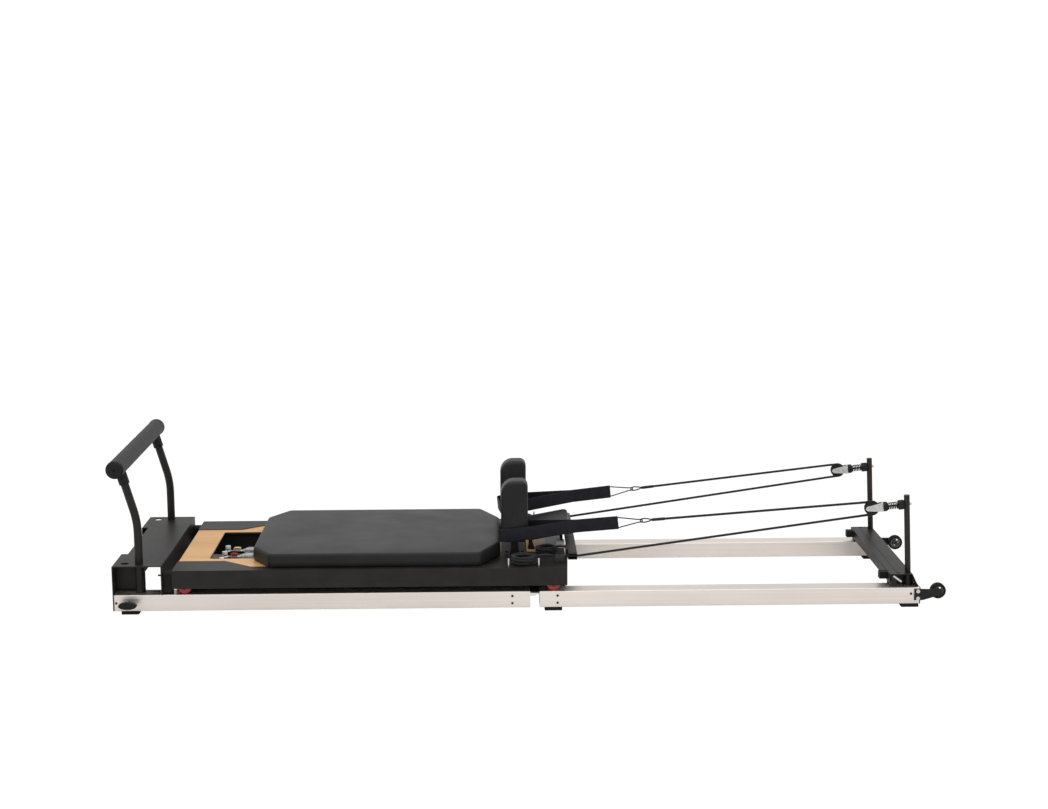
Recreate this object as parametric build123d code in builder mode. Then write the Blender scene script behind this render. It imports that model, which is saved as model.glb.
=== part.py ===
from build123d import *
import math
import os

# Folding pilates reformer. Millimetres; X runs from the foot end to the head end,
# -Y is the near side, Z is up from the floor. Stations are measured from the foot end.
overall_len = 2376.0
frame_w = 595.0          # over the rails' outer faces
rail_w = 57.5
rail_h = 47.0
rail_wall = 3.0
foot_h = 11.0            # rubber feet
fold_gap = 27.0
rail_split = 1184.0      # station where the foot half ends
rail_end = overall_len - 79.0        # station where the head half ends
sheet = 3.0
slip = 0.05              # radial clearance of a running fit
seat = 0.1               # clearance of parts that are pushed together and stay

rail_y = frame_w / 2 - rail_w / 2
rail_top = foot_h + rail_h
rail_mid = foot_h + rail_h / 2
rail_in = rail_y - rail_w / 2
inner_w = rail_w - 2 * rail_wall
inner_h = rail_h - 2 * rail_wall
sides = (-1, 1)

# foot end: sheet platform with two sockets a side for the foot bar
plat_len = 141.0
plat_top = 143.0
plat_half = frame_w / 2 + 2.5
arm_d = 23.0
arm_station = 72.5
spare_station = 32.0
arm_bottom = foot_h + rail_wall + 8.0
bar_lean = 16.0          # degrees the arms lean back above the bend
bar_bend_z = 266.0
bar_z = 426.5
bar_half = 333.0
grip_d = 51.0
cross_d = 25.0
knob_station = 46.0

# carriage
car_x0 = 168.5
car_len = 1121.5
car_half = frame_w / 2 + 1.5
skirt_z0 = 75.0
deck_z = 128.0
strip_t = 2.0
board_t = 6.0
socket_z0 = 100.0        # foot of the shoulder rests' sockets
strip_in = 190.0         # inner edge of the wide deck strips
strip_out = car_half - 43     # and of the narrow ones
wheel_d = 40.0
wheel_w = 16.0
travel = 900.0
opening_x0 = 255.0
opening_x1 = 425.0
opening_half = 159.0
pad_x0 = 385.0
pad_x1 = 1101.0
pad_half = 278.0
pad_t = 42.0
rest_station = 1142.0
rest_y = 144.0
rest_x = 74.0
rest_w = 75.0
rest_z0 = 175.0
rest_z1 = 349.0
post_w = 20.0
head_x0 = 1184.0
head_len = 128.0
head_half = 100.0
head_tilt = 10.4
head_pin_z = 152.3
quad_r = 96.0
end_bar_x0 = 1294.0
end_bar_w = 26.0
end_bar_z0 = 138.0
end_bar_h = 18.0
end_bar_half = car_half - 47
spring_z = 82.0
spring_ys = (-105.0, -35.0, 35.0, 105.0)
spring_station = 271.0
anchor_station = 1226.0

# head end
head_plat_x0 = rail_end - 84.0
head_plat_w = 66.0
head_plat_top = 95.0
head_plat_half = frame_w / 2 - 13.5
riser_d = 16.5
riser_lean = 2.6         # degrees towards the foot end
riser_base = rail_end - 25.0      # station of the riser's axis on the rail
riser_y = rail_y - 8.75
riser_top = 321.0
riser_foot = 28.0
pulley_z = 284.0
pulley_x = riser_base - 111.0
rope_d = 7.0
wrap_r = 18.5            # rope centre line round the sheave
sheave_w = 12.0
roll_z = 44.5
roll_d = 45.0
roll_station = overall_len - roll_d / 2
roll_y = frame_w / 2 - 17.5
bumper_face = head_plat_x0 - 22.5

os.makedirs("parts", exist_ok=True)


def st(station):
    return station - overall_len / 2


def save(part, node):
    part.label = node
    export_step(part, "parts/" + node + ".step")


def save_group(pieces, node):
    # pieces of one kind on one body, each its own solid
    save(Compound(children=[p for piece in pieces for p in piece.solids()]), node)


def block(x0, x1, y0, y1, z0, z1, mode=Mode.ADD):
    with Locations((st((x0 + x1) / 2), (y0 + y1) / 2, (z0 + z1) / 2)):
        Box(x1 - x0, abs(y1 - y0), z1 - z0, mode=mode)


def rod_z(x, y, z0, z1, d, mode=Mode.ADD):
    with Locations((st(x), y, (z0 + z1) / 2)):
        Cylinder(d / 2, z1 - z0, mode=mode)


def rod_y(x, y0, y1, z, d, mode=Mode.ADD):
    with Locations(Location((st(x), (y0 + y1) / 2, z), (90, 0, 0))):
        Cylinder(d / 2, abs(y1 - y0), mode=mode)


def rod_x(x0, x1, y, z, d, mode=Mode.ADD):
    with Locations(Location((st((x0 + x1) / 2), y, z), (0, 90, 0))):
        Cylinder(d / 2, x1 - x0, mode=mode)


def profile_y(points, y0, y1, mode=Mode.ADD):
    # a closed outline in X and Z, drawn out along Y
    with BuildSketch(Plane((0, y0, 0), x_dir=(1, 0, 0), z_dir=(0, -1, 0))) as outline:
        with BuildLine():
            Polyline(*[(st(x), z) for x, z in points], close=True)
        make_face()
    extrude(to_extrude=outline.sketch, amount=y0 - y1, mode=mode)


# ---- rails, each a hollow extrusion in two halves ----
screw_stations = (rail_split - 51, rail_split + fold_gap + 51)
screw_zs = (rail_mid - 10.5, rail_mid + 10.5)
end_screws = ((9.0, rail_mid), (rail_end - 24, rail_mid + 6))
screw_d = 4.0


def rail_bar(x0, x1, side):
    block(x0, x1, side * rail_y - rail_w / 2, side * rail_y + rail_w / 2, foot_h, rail_top)
    block(x0 - 1, x1 + 1, side * rail_y - inner_w / 2, side * rail_y + inner_w / 2,
          foot_h + rail_wall, rail_top - rail_wall, mode=Mode.SUBTRACT)


def screw_hole(x, z, side):
    rod_y(x, side * frame_w / 2 + side, side * (frame_w / 2 - rail_wall - 12), z,
          screw_d + 2 * slip, mode=Mode.SUBTRACT)


with BuildPart() as rails_foot:
    for s in sides:
        rail_bar(sheet, rail_split, s)
        for x in (spare_station, arm_station):
            rod_z(x, s * rail_y, rail_top - 5, rail_top + 5, arm_d + 1, mode=Mode.SUBTRACT)
        rod_y(knob_station, s * (frame_w / 2 + 5), s * (frame_w / 2 - 5), rail_mid, 8.4,
              mode=Mode.SUBTRACT)
        for z in screw_zs:
            screw_hole(screw_stations[0], z, s)
        screw_hole(end_screws[0][0], end_screws[0][1], s)
save(rails_foot.part, "rails_foot")


def riser_plane(side, z):
    # the riser's axis passes the rail top at riser_base and leans to the foot end
    lean = math.radians(riser_lean)
    x = st(riser_base) - (z - rail_top) * math.tan(lean)
    axis = (-math.sin(lean), 0, math.cos(lean))
    return Plane((x, side * riser_y, z), x_dir=(math.cos(lean), 0, math.sin(lean)), z_dir=axis)


def riser_len(z0, z1):
    return (z1 - z0) / math.cos(math.radians(riser_lean))


def riser_rod(side, z0, z1, d, mode=Mode.ADD):
    with BuildSketch(riser_plane(side, z0)) as ring:
        Circle(d / 2)
    extrude(to_extrude=ring.sketch, amount=riser_len(z0, z1), mode=mode)


with BuildPart() as rails_head:
    for s in sides:
        rail_bar(rail_split + fold_gap, rail_end, s)
        riser_rod(s, rail_top - 8, rail_top + 8, riser_d + 1, mode=Mode.SUBTRACT)
        for z in screw_zs:
            screw_hole(screw_stations[1], z, s)
            screw_hole(rail_end - 5.5, z + 4, s)
        screw_hole(end_screws[1][0], end_screws[1][1], s)
save(rails_head.part, "rails_head")

# ---- fold hinge: a plug in each rail end, knuckles and a pin under a cap ----
pin_d = 5.0
pin_x = rail_split + fold_gap / 2
pin_z = rail_top - 8.5
knuckle_r = 5.4
plug_len = 74.0
plug_w = inner_w - 2 * seat
plug_h = inner_h - 2 * seat


def hinge_plug(side, half):
    # half 0 fills the foot rail's end, half 1 the head rail's
    y0 = side * rail_y - plug_w / 2
    cuts = ((y0, y0 + 16), (y0 + 16.15, y0 + plug_w - 16.15), (y0 + plug_w - 16, y0 + plug_w))
    x_face = rail_split if half == 0 else rail_split + fold_gap
    x_in = x_face - plug_len if half == 0 else x_face + plug_len
    ears = (cuts[0], cuts[2]) if half == 0 else (cuts[1],)
    others = (cuts[1],) if half == 0 else (cuts[0], cuts[2])
    with BuildPart() as plug:
        block(min(x_face, x_in), max(x_face, x_in), y0, y0 + plug_w,
              rail_mid - plug_h / 2, rail_mid + plug_h / 2)
        for a, b in ears:
            block(min(x_face, pin_x), max(x_face, pin_x), a, b, pin_z - knuckle_r,
                  pin_z + knuckle_r)
            rod_y(pin_x, a, b, pin_z, 2 * knuckle_r)
        for a, b in others:
            rod_y(pin_x, a - 0.15, b + 0.15, pin_z, 2 * knuckle_r + 0.4, mode=Mode.SUBTRACT)
        rod_y(pin_x, y0 - 5, y0 + plug_w + 5, pin_z, pin_d + 2 * seat, mode=Mode.SUBTRACT)
        for z in screw_zs:
            screw_hole(screw_stations[half], z, side)
    return plug.part


def hinge_pin(side):
    with BuildPart() as pin:
        rod_y(pin_x, side * rail_y - plug_w / 2 - 2, side * rail_y + plug_w / 2 + 2, pin_z,
              pin_d + 2 * seat)
    return pin.part


save_group([hinge_plug(s, half) for s in sides for half in (0, 1)]
           + [hinge_pin(s) for s in sides], "fold_hinges")

with BuildPart() as hinge_caps:
    for s in sides:
        y_out = s * frame_w / 2
        cap_x0, cap_x1 = rail_split + seat, rail_split + fold_gap - seat
        block(cap_x0, cap_x1, min(y_out, s * rail_in), max(y_out, s * rail_in),
              rail_top - sheet, rail_top)
        lip = (y_out, y_out + s * 1.6)
        block(cap_x0, cap_x1, min(lip), max(lip), rail_top - 4, rail_top)
save(hinge_caps.part, "hinge_caps")

with BuildPart() as frame_screws:
    for s in sides:
        spots = [(x, z) for x in screw_stations for z in screw_zs] + list(end_screws)
        for x, z in spots:
            rod_y(x, s * frame_w / 2, s * (frame_w / 2 - rail_wall - 11), z, screw_d)
            rod_y(x, s * frame_w / 2, s * (frame_w / 2 + 1.4), z, 7.0)
        for z in screw_zs:
            y_plate = frame_w / 2 + 4
            rod_y(rail_end - 5.5, s * y_plate, s * (frame_w / 2 - rail_wall - 11), z + 4, screw_d)
            rod_y(rail_end - 5.5, s * y_plate, s * (y_plate + 4), z + 4, 11.0)
save(frame_screws.part, "frame_screws")

with BuildPart() as rubber_feet:
    for s in sides:
        for x in (47.0, 1250.0, rail_end - 26):
            block(x - 25, x + 25, s * rail_y - 26, s * rail_y + 26, 0, foot_h)
    fillet(rubber_feet.edges().group_by(Axis.Z)[0], 2)
save(rubber_feet.part, "rubber_feet")

# ---- foot platform: bent sheet over the rail ends, with webs standing on the rails ----
with BuildPart() as foot_platform:
    profile_y([(0, foot_h + 1), (0, plat_top), (plat_len, plat_top), (plat_len, rail_top),
               (plat_len - sheet, rail_top), (plat_len - sheet, plat_top - sheet),
               (sheet, plat_top - sheet), (sheet, foot_h + 1)], -plat_half, plat_half)
    top_bends = foot_platform.edges().filter_by(Axis.Y).group_by(Axis.Z)[-1]
    fillet(top_bends, 2.5)
    block(-1, 20, -160, 160, 103, plat_top + 1, mode=Mode.SUBTRACT)
    for s in sides:
        for x in (spare_station, arm_station):
            rod_z(x, s * rail_y, plat_top - 10, plat_top + 10, arm_d + 1, mode=Mode.SUBTRACT)
        y_web = (s * (rail_in + 3), s * (rail_in + 6))
        block(sheet, 84, min(y_web), max(y_web), rail_top, plat_top - sheet)
        y_toe = (s * (rail_in + 6), s * (rail_in + 16))
        block(sheet, arm_station - arm_d / 2 - 1, min(y_toe), max(y_toe), rail_top, rail_top + sheet)
        y_lug = (s * (rail_y - 3), s * (rail_y + 3))
        lug_x = arm_station + arm_d / 2 + 1.5
        profile_y([(lug_x, plat_top - sheet), (lug_x + 19.5, plat_top - sheet), (lug_x + 1, 116),
                   (lug_x, 116)],
                  min(y_lug), max(y_lug))
        rod_x(plat_len - sheet - 10, plat_len - sheet, s * (plat_half - 16), 112, 5)
save(foot_platform.part, "foot_platform")

with BuildPart() as bumpers:
    for s in sides:
        y_s = s * (plat_half - 23)
        with BuildSketch(Plane((st(plat_len), y_s, rail_top), x_dir=(0, 1, 0), z_dir=(1, 0, 0))):
            with Locations((0, 31)):
                RectangleRounded(28, 62, 9)
        extrude(amount=car_x0 - 0.5 - plat_len)
        y_b = (s * (rail_in - 8), s * (rail_in + 16))
        block(bumper_face, head_plat_x0, min(y_b), max(y_b), 74, 94)
save(bumpers.part, "bumpers")

# ---- blocks inside the rail ends that hold the foot bar and the risers ----
with BuildPart() as socket_blocks:
    for s in sides:
        y0, y1 = s * rail_y - plug_w / 2, s * rail_y + plug_w / 2
        z0, z1 = foot_h + rail_wall + seat, rail_top - rail_wall - seat
        block(6, 96, y0, y1, z0, z1)
        for x in (spare_station, arm_station):
            rod_z(x, s * rail_y, arm_bottom, rail_top, arm_d + 2 * slip, mode=Mode.SUBTRACT)
        rod_y(knob_station, s * (frame_w / 2), s * (frame_w / 2 - 13.5), rail_mid, 8 + 2 * slip,
              mode=Mode.SUBTRACT)
        screw_hole(end_screws[0][0], end_screws[0][1], s)
        block(rail_end - 61, rail_end, y0, y1, z0, z1)
        riser_rod(s, riser_foot, rail_top + 4, riser_d + 2 * slip, mode=Mode.SUBTRACT)
        screw_hole(end_screws[1][0], end_screws[1][1], s)
        for z in screw_zs:
            screw_hole(rail_end - 5.5, z + 4, s)
        y_c = (s * (rail_y - rail_w / 2), s * (rail_y + rail_w / 2))
        block(rail_end, rail_end + 3, min(y_c), max(y_c), foot_h, rail_top)
save(socket_blocks.part, "socket_blocks")


def knob(side, node):
    with BuildPart() as handle:
        rod_y(knob_station, side * (frame_w / 2 - 12.5), side * (frame_w / 2 + 22), rail_mid, 8)
        rod_y(knob_station, side * (frame_w / 2 + 0.3), side * (frame_w / 2 + 22), rail_mid, 13)
        with BuildSketch(Plane((st(knob_station), side * (frame_w / 2 + 20), rail_mid),
                               x_dir=(1, 0, 0), z_dir=(0, side, 0))):
            Ellipse(26, 10.5)
        extrude(amount=15)
        fillet(handle.faces().sort_by(Axis.Y)[0 if side < 0 else -1].edges(), 3)
    save(handle.part, node)


knob(-1, "knob_near")
knob(1, "knob_far")

# ---- foot bar ----
lean = math.radians(bar_lean)
bar_x = arm_station - (bar_z - bar_bend_z) * math.tan(lean)
with BuildPart() as footbar_frame:
    for s in sides:
        with BuildLine():
            FilletPolyline((st(arm_station), s * rail_y, arm_bottom + 0.3),
                           (st(arm_station), s * rail_y, bar_bend_z),
                           (st(bar_x), s * rail_y, bar_z), radius=250)
        with BuildSketch(Plane((st(arm_station), s * rail_y, arm_bottom + 0.3))):
            Circle(arm_d / 2)
        sweep()
    rod_y(bar_x, -bar_half + 8, bar_half - 8, bar_z, cross_d)
save(footbar_frame.part, "footbar_frame")


def arm_plane(side, back):
    # a plane across the leaning arm, at a distance below the cross tube's axis
    return Plane((st(bar_x + back * math.sin(lean)), side * rail_y, bar_z - back * math.cos(lean)),
                 x_dir=(math.cos(lean), 0, math.sin(lean)),
                 z_dir=(-math.sin(lean), 0, math.cos(lean)))


collar_d = 30.0
with BuildPart() as footbar_collars:
    for s in sides:
        with BuildSketch(arm_plane(s, 54)):
            Circle(collar_d / 2)
            Circle(arm_d / 2 + seat, mode=Mode.SUBTRACT)
        extrude(amount=36)
save(footbar_collars.part, "footbar_collars")

with BuildPart() as footbar_grip:
    rod_y(bar_x, -bar_half + 12, bar_half - 12, bar_z, grip_d)
    rod_y(bar_x, -bar_half, bar_half, bar_z, cross_d + 2 * seat, mode=Mode.SUBTRACT)
    for s in sides:
        with BuildSketch(arm_plane(s, 60)):
            Circle(collar_d / 2 + 0.3)
        extrude(amount=60, mode=Mode.SUBTRACT)
save(footbar_grip.part, "footbar_grip")

with BuildPart() as footbar_caps:
    for s in sides:
        rod_y(bar_x, s * (bar_half - 12), s * bar_half, bar_z, grip_d)
    rims = footbar_caps.edges().filter_by(GeomType.CIRCLE).sort_by(Axis.Y)
    fillet([rims[0], rims[-1]], 8)
    for s in sides:
        rod_y(bar_x, s * (bar_half - 20), s * (bar_half - 8), bar_z, cross_d + 2 * seat,
              mode=Mode.SUBTRACT)
        rod_y(bar_x, s * (bar_half - 3), s * (bar_half + 3), bar_z, 8, mode=Mode.SUBTRACT)
save(footbar_caps.part, "footbar_caps")

# ---- spring bar between the rails, with a stud and a hand knob for each spring ----
with BuildPart() as spring_bar:
    block(spring_station - 9, spring_station + 9, -rail_in, rail_in, 16, 24)
    for y in spring_ys:
        rod_z(spring_station, y, 24, 90, 8)
        rod_z(spring_station, y, 24, spring_z - 2.5, 14)
save(spring_bar.part, "spring_bar")

with BuildPart() as spring_knobs:
    for y in spring_ys:
        rod_z(spring_station, y, 88, 97, 16)
        rod_z(spring_station, y, 80, 90, 8 + 2 * seat, mode=Mode.SUBTRACT)
save(spring_knobs.part, "spring_knobs")

tab_x = spring_station + 17
tab_len = 22.0
with BuildPart() as spring_tabs:
    for y in spring_ys:
        block(tab_x, tab_x + tab_len, y - 7, y + 7, spring_z + 2.6, spring_z + 10)
        block(tab_x + 3, tab_x + tab_len - 3, y - 8, y + 8, spring_z + 4.6, spring_z + 8,
              mode=Mode.SUBTRACT)
save(spring_tabs.part, "spring_tabs")

spring_d = 22.0
with BuildPart() as springs:
    x0, x1 = spring_station + 60, anchor_station - 60
    for y in spring_ys:
        with BuildSketch(Plane((0, y, spring_z), x_dir=(1, 0, 0), z_dir=(0, -1, 0))):
            with BuildLine():
                Polyline((st(x0 - 18), 0), (st(x0 - 18), 3), (st(x0), spring_d / 2),
                         (st(x1), spring_d / 2), (st(x1 + 18), 3), (st(x1 + 18), 0),
                         close=True)
            make_face()
        revolve(axis=Axis((0, y, spring_z), (1, 0, 0)))
        rod_x(spring_station + 8, x0 - 10, y, spring_z, 4.4)
        rod_x(x1 + 10, anchor_station - 8, y, spring_z, 4.4)
        for x in (spring_station, anchor_station):
            rod_z(x, y, spring_z - 2.5, spring_z + 2.5, 22)
            rod_z(x, y, spring_z - 4, spring_z + 4, 12, mode=Mode.SUBTRACT)
save(springs.part, "springs")

# ---- carriage: sheet beams over wheels, board deck ----
board_z0 = deck_z - strip_t - board_t
car_x1 = car_x0 + car_len
axle_stations = (202.0, 1251.0)
axle_z = rail_top + wheel_d / 2 + 0.1
axle_d = 8.0
with BuildPart() as carriage_beams:
    for s in sides:
        y_out, y_in = s * car_half, s * (car_half - sheet)
        block(car_x0, car_x1, min(y_out, y_in), max(y_out, y_in), skirt_z0, deck_z)
        with BuildSketch(Plane((0, 0, deck_z - strip_t))):
            with BuildLine():
                Polyline((st(car_x0), y_in), (st(car_x0), s * strip_in), (st(305), s * strip_in),
                         (st(387), s * strip_out), (st(1080), s * strip_out), (st(1104), s * strip_in),
                         (st(car_x1), s * strip_in), (st(car_x1), y_in), close=True)
            make_face()
        extrude(amount=strip_t)
        for x in (1123.0, 1209.0):
            rod_z(x, s * (car_half - 12), deck_z - 5, deck_z + 5, 5.2, mode=Mode.SUBTRACT)
save(carriage_beams.part, "carriage_beams")

board_half = car_half - sheet - seat
with BuildPart() as deck_board:
    block(car_x0 + 2, car_x1 - 1.5, -board_half, board_half, board_z0, deck_z - strip_t)
    block(opening_x0, opening_x1, -opening_half, opening_half, 90, 140, mode=Mode.SUBTRACT)
    fillet(deck_board.edges().filter_by(Axis.Z).group_by(Axis.X)[1], 6)
    for s in sides:
        block(rest_station - 13.2, rest_station + 13.2, s * rest_y - 13.2, s * rest_y + 13.2,
              board_z0 - 1, deck_z, mode=Mode.SUBTRACT)
        for x in (1123.0, 1209.0):
            rod_z(x, s * (car_half - 12), board_z0 + 4, deck_z + 5, 5.2, mode=Mode.SUBTRACT)
    block(1262, 1306, -64, -52, board_z0 - 1, deck_z, mode=Mode.SUBTRACT)
with BuildPart() as pad_base:
    with BuildSketch(Plane((0, 0, deck_z))):
        with BuildLine():
            Polyline((st(pad_x0 + 9), -176), (st(pad_x0 + 60), -pad_half + 8),
                     (st(pad_x1 - 60), -pad_half + 8), (st(pad_x1 - 9), -150),
                     (st(pad_x1 - 9), 150), (st(pad_x1 - 60), pad_half - 8),
                     (st(pad_x0 + 60), pad_half - 8), (st(pad_x0 + 9), 176), close=True)
        make_face()
    extrude(amount=9)
save_group([deck_board.part, pad_base.part], "deck_board")

with BuildPart() as main_pad:
    with BuildSketch(Plane((0, 0, deck_z + 0.4))):
        with BuildLine():
            Polyline((st(pad_x0), -183), (st(pad_x0 + 57), -pad_half),
                     (st(pad_x1 - 57), -pad_half), (st(pad_x1), -157), (st(pad_x1), 157),
                     (st(pad_x1 - 57), pad_half), (st(pad_x0 + 57), pad_half),
                     (st(pad_x0), 183), close=True)
        make_face()
    extrude(amount=pad_t - 0.4)
    fillet(main_pad.edges().filter_by(Axis.Z), 14)
    fillet(main_pad.faces().sort_by(Axis.Z)[-1].edges(), 7)
    with BuildSketch(Plane((0, 0, deck_z))):
        with BuildLine():
            Polyline((st(pad_x0 + 8.7), -176.3), (st(pad_x0 + 59.7), -pad_half + 7.7),
                     (st(pad_x1 - 59.7), -pad_half + 7.7), (st(pad_x1 - 8.7), -150.3),
                     (st(pad_x1 - 8.7), 150.3), (st(pad_x1 - 59.7), pad_half - 7.7),
                     (st(pad_x0 + 59.7), pad_half - 7.7), (st(pad_x0 + 8.7), 176.3), close=True)
        make_face()
    extrude(amount=9, mode=Mode.SUBTRACT)
save(main_pad.part, "main_pad")

cross_z0 = 99.5
with BuildPart() as cross_members:
    for x0, x1 in ((172.0, 200.0), (700.0, 730.0), (1216.0, car_x1)):
        block(x0, x1, -board_half, board_half, cross_z0, board_z0)
    block(anchor_station + 12, anchor_station + 16, -130, 130, 70, cross_z0)
    for y in spring_ys:
        rod_z(anchor_station, y, spring_z - 8, cross_z0, 8)
    block(1250, 1306, -66, -50, cross_z0 - 1, board_z0 + 1, mode=Mode.SUBTRACT)
save(cross_members.part, "cross_members")

with BuildPart() as inner_beams:
    for s in sides:
        y_w = (s * (rail_in - 15), s * (rail_in - 12))
        block(172, car_x1 - 2, min(y_w), max(y_w), 40, cross_z0)
save(inner_beams.part, "inner_beams")

with BuildPart() as wheel_axles:
    for s in sides:
        for x in axle_stations:
            rod_y(x, s * (car_half - sheet), s * (car_half - 31), axle_z, axle_d)
            rod_y(x, s * (car_half - sheet), s * (car_half - 10), axle_z, 13)
            rod_y(x, s * (car_half - 28), s * (car_half - 31), axle_z, 12)
save(wheel_axles.part, "wheel_axles")


def load_wheel(x, side, node):
    with BuildPart() as wheel:
        rod_y(x, side * (car_half - 11), side * (car_half - 11 - wheel_w), axle_z, wheel_d)
        fillet(wheel.edges().filter_by(GeomType.CIRCLE), 2)
        rod_y(x, side * (car_half - 10), side * (car_half - 39), axle_z, axle_d + 2 * slip,
              mode=Mode.SUBTRACT)
    save(wheel.part, node)


load_wheel(axle_stations[0], -1, "load_wheel_foot_near")
load_wheel(axle_stations[0], 1, "load_wheel_foot_far")
load_wheel(axle_stations[1], -1, "load_wheel_head_near")
load_wheel(axle_stations[1], 1, "load_wheel_head_far")

with BuildPart() as side_guides:
    for s in sides:
        for x in (186.0, 1262.0):
            y_g = (s * (rail_in - 0.5), s * (rail_in - 12))
            block(x - 14, x + 14, min(y_g), max(y_g), 44, cross_z0)
save(side_guides.part, "side_guides")

rope_y = car_half - 56
rope_hole_z = 147.0
with BuildPart() as end_bar:
    block(end_bar_x0, end_bar_x0 + end_bar_w, -end_bar_half, end_bar_half, end_bar_z0,
          end_bar_z0 + end_bar_h)
    block(end_bar_x0 + 2, end_bar_x0 + end_bar_w - 2, -end_bar_half - 1, end_bar_half + 1,
          end_bar_z0 + 2, end_bar_z0 + end_bar_h - 2, mode=Mode.SUBTRACT)
    for s in sides:
        y_p = (s * 150, s * 205)
        block(car_x1, end_bar_x0, min(y_p), max(y_p), 84, end_bar_z0 + end_bar_h)
        rod_x(end_bar_x0 - 10, end_bar_x0 + 40, s * rope_y, rope_hole_z, rope_d + 3.5,
              mode=Mode.SUBTRACT)
save(end_bar.part, "end_bar")

with BuildPart() as rope_fittings:
    for s in sides:
        y_c = (s * (rope_y - 10), s * (rope_y + 10))
        block(1256, 1284, min(y_c), max(y_c), deck_z, 154)
        rod_x(1250, 1290, s * rope_y, rope_hole_z, rope_d + 2, mode=Mode.SUBTRACT)
        block(1250, 1290, s * rope_y - 2.2, s * rope_y + 2.2, rope_hole_z, 160,
              mode=Mode.SUBTRACT)
        for x in (1123.0, 1209.0):
            rod_z(x, s * (car_half - 12), board_z0 + 4, 153, 5.0)
save(rope_fittings.part, "rope_fittings")

plate_y = strip_in - seat
with BuildPart() as shoulder_sockets:
    # a plate across the deck, with an arm along each side of the headrest
    with BuildSketch(Plane((0, 0, deck_z - strip_t))):
        with BuildLine():
            Polyline((st(1104), -plate_y), (st(car_x1 - 2), -plate_y), (st(car_x1 - 2), -115),
                     (st(1178), -115), (st(1178), 115), (st(car_x1 - 2), 115),
                     (st(car_x1 - 2), plate_y), (st(1104), plate_y), close=True)
        make_face()
    extrude(amount=strip_t)
    for s in sides:
        block(rest_station - 13, rest_station + 13, s * rest_y - 13, s * rest_y + 13,
              socket_z0, 142)
        block(rest_station - 30, rest_station + 30, s * rest_y - 28, s * rest_y + 28,
              deck_z - strip_t, deck_z + 2)
        w = post_w / 2 + slip
        block(rest_station - w, rest_station + w, s * rest_y - w, s * rest_y + w,
              socket_z0 - 1, 150, mode=Mode.SUBTRACT)
        for dx in (-1, 1):
            for dy in (-1, 1):
                rod_z(rest_station + dx * 23, s * rest_y + dy * 21, deck_z + 2, deck_z + 5, 8)
save(shoulder_sockets.part, "shoulder_sockets")


def shoulder_rest(side, tag):
    with BuildPart() as post:
        block(rest_station - post_w / 2, rest_station + post_w / 2, side * rest_y - post_w / 2,
              side * rest_y + post_w / 2, socket_z0 + 2, rest_z0 + 60)
        block(rest_station - 30, rest_station + 30, side * rest_y - 30, side * rest_y + 30,
              rest_z0 - 4, rest_z0)
    save(post.part, "shoulder_post_" + tag)
    with BuildPart() as pad:
        with BuildSketch(Plane((0, side * rest_y - rest_w / 2, 0), x_dir=(1, 0, 0),
                               z_dir=(0, -1, 0))) as outline:
            with Locations((st(rest_station), (rest_z0 + rest_z1) / 2)):
                Rectangle(rest_x, rest_z1 - rest_z0)
            top = outline.vertices().group_by(Axis.Z)[-1].sort_by(Axis.X)
            fillet(top[0], 34)
            fillet(outline.vertices().group_by(Axis.Z)[-1].sort_by(Axis.X)[-1], 16)
        extrude(amount=-rest_w)
        long_edges = pad.edges().filter_by(Axis.Z)
        fillet(long_edges, 11)
        w = post_w / 2 + seat
        block(rest_station - w, rest_station + w, side * rest_y - w, side * rest_y + w,
              rest_z0 - 5, rest_z0 + 60 + seat, mode=Mode.SUBTRACT)
    save(pad.part, "shoulder_pad_" + tag)


shoulder_rest(-1, "near")
shoulder_rest(1, "far")

# ---- headrest: hinged board and cushion, held by a quadrant in a guide ----
tilt = math.radians(head_tilt)
pin_station = head_x0 + 6
head_dir = (math.cos(tilt), 0, math.sin(tilt))
head_up = (-math.sin(tilt), 0, math.cos(tilt))
board_thick = 8.0
cushion_t = 25.0
head_plane = Plane((st(pin_station), 0, head_pin_z), x_dir=head_dir, z_dir=head_up)
head_pin_d = 6.0
with BuildPart() as headrest_mounts:
    for s in sides:
        y_l = (s * 60, s * 66)
        profile_y([(pin_station - 8, deck_z - strip_t), (pin_station + 12, deck_z - strip_t),
                   (pin_station + 3.5, head_pin_z), (pin_station - 3.5, head_pin_z)],
                  min(y_l), max(y_l))
        rod_y(pin_station, min(y_l), max(y_l), head_pin_z, 7.4)
        y_f = (s * 66, s * 84)
        block(pin_station - 8, pin_station + 12, min(y_f), max(y_f), deck_z - strip_t, deck_z)
        y_p = (s * 56, s * 76)
        rod_y(pin_station, min(y_p), max(y_p), head_pin_z, head_pin_d)
    for y0, y1 in ((-72, -62.2), (-53.8, -44)):
        block(1266, 1290, y0, y1, deck_z - strip_t, deck_z + 19)
save(headrest_mounts.part, "headrest_mounts")

with BuildPart() as headrest_board:
    with BuildSketch(head_plane.offset(4)):
        with Locations((head_len / 2 - 5, 0)):
            Rectangle(head_len - 6, 2 * head_half - 8)
    extrude(amount=board_thick)
    for s in sides:
        y_e = (s * 67, s * 76)
        rod_y(pin_station, min(y_e), max(y_e), head_pin_z, 12)
        with BuildSketch(Plane(head_plane.origin + Vector(0, min(y_e), 0), x_dir=head_dir,
                               z_dir=(0, -1, 0))):
            with Locations((0, 3.5)):
                Rectangle(12, 7)
        extrude(amount=min(y_e) - max(y_e))
        rod_y(pin_station, s * 50, s * 80, head_pin_z, head_pin_d + 2 * slip,
              mode=Mode.SUBTRACT)

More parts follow.
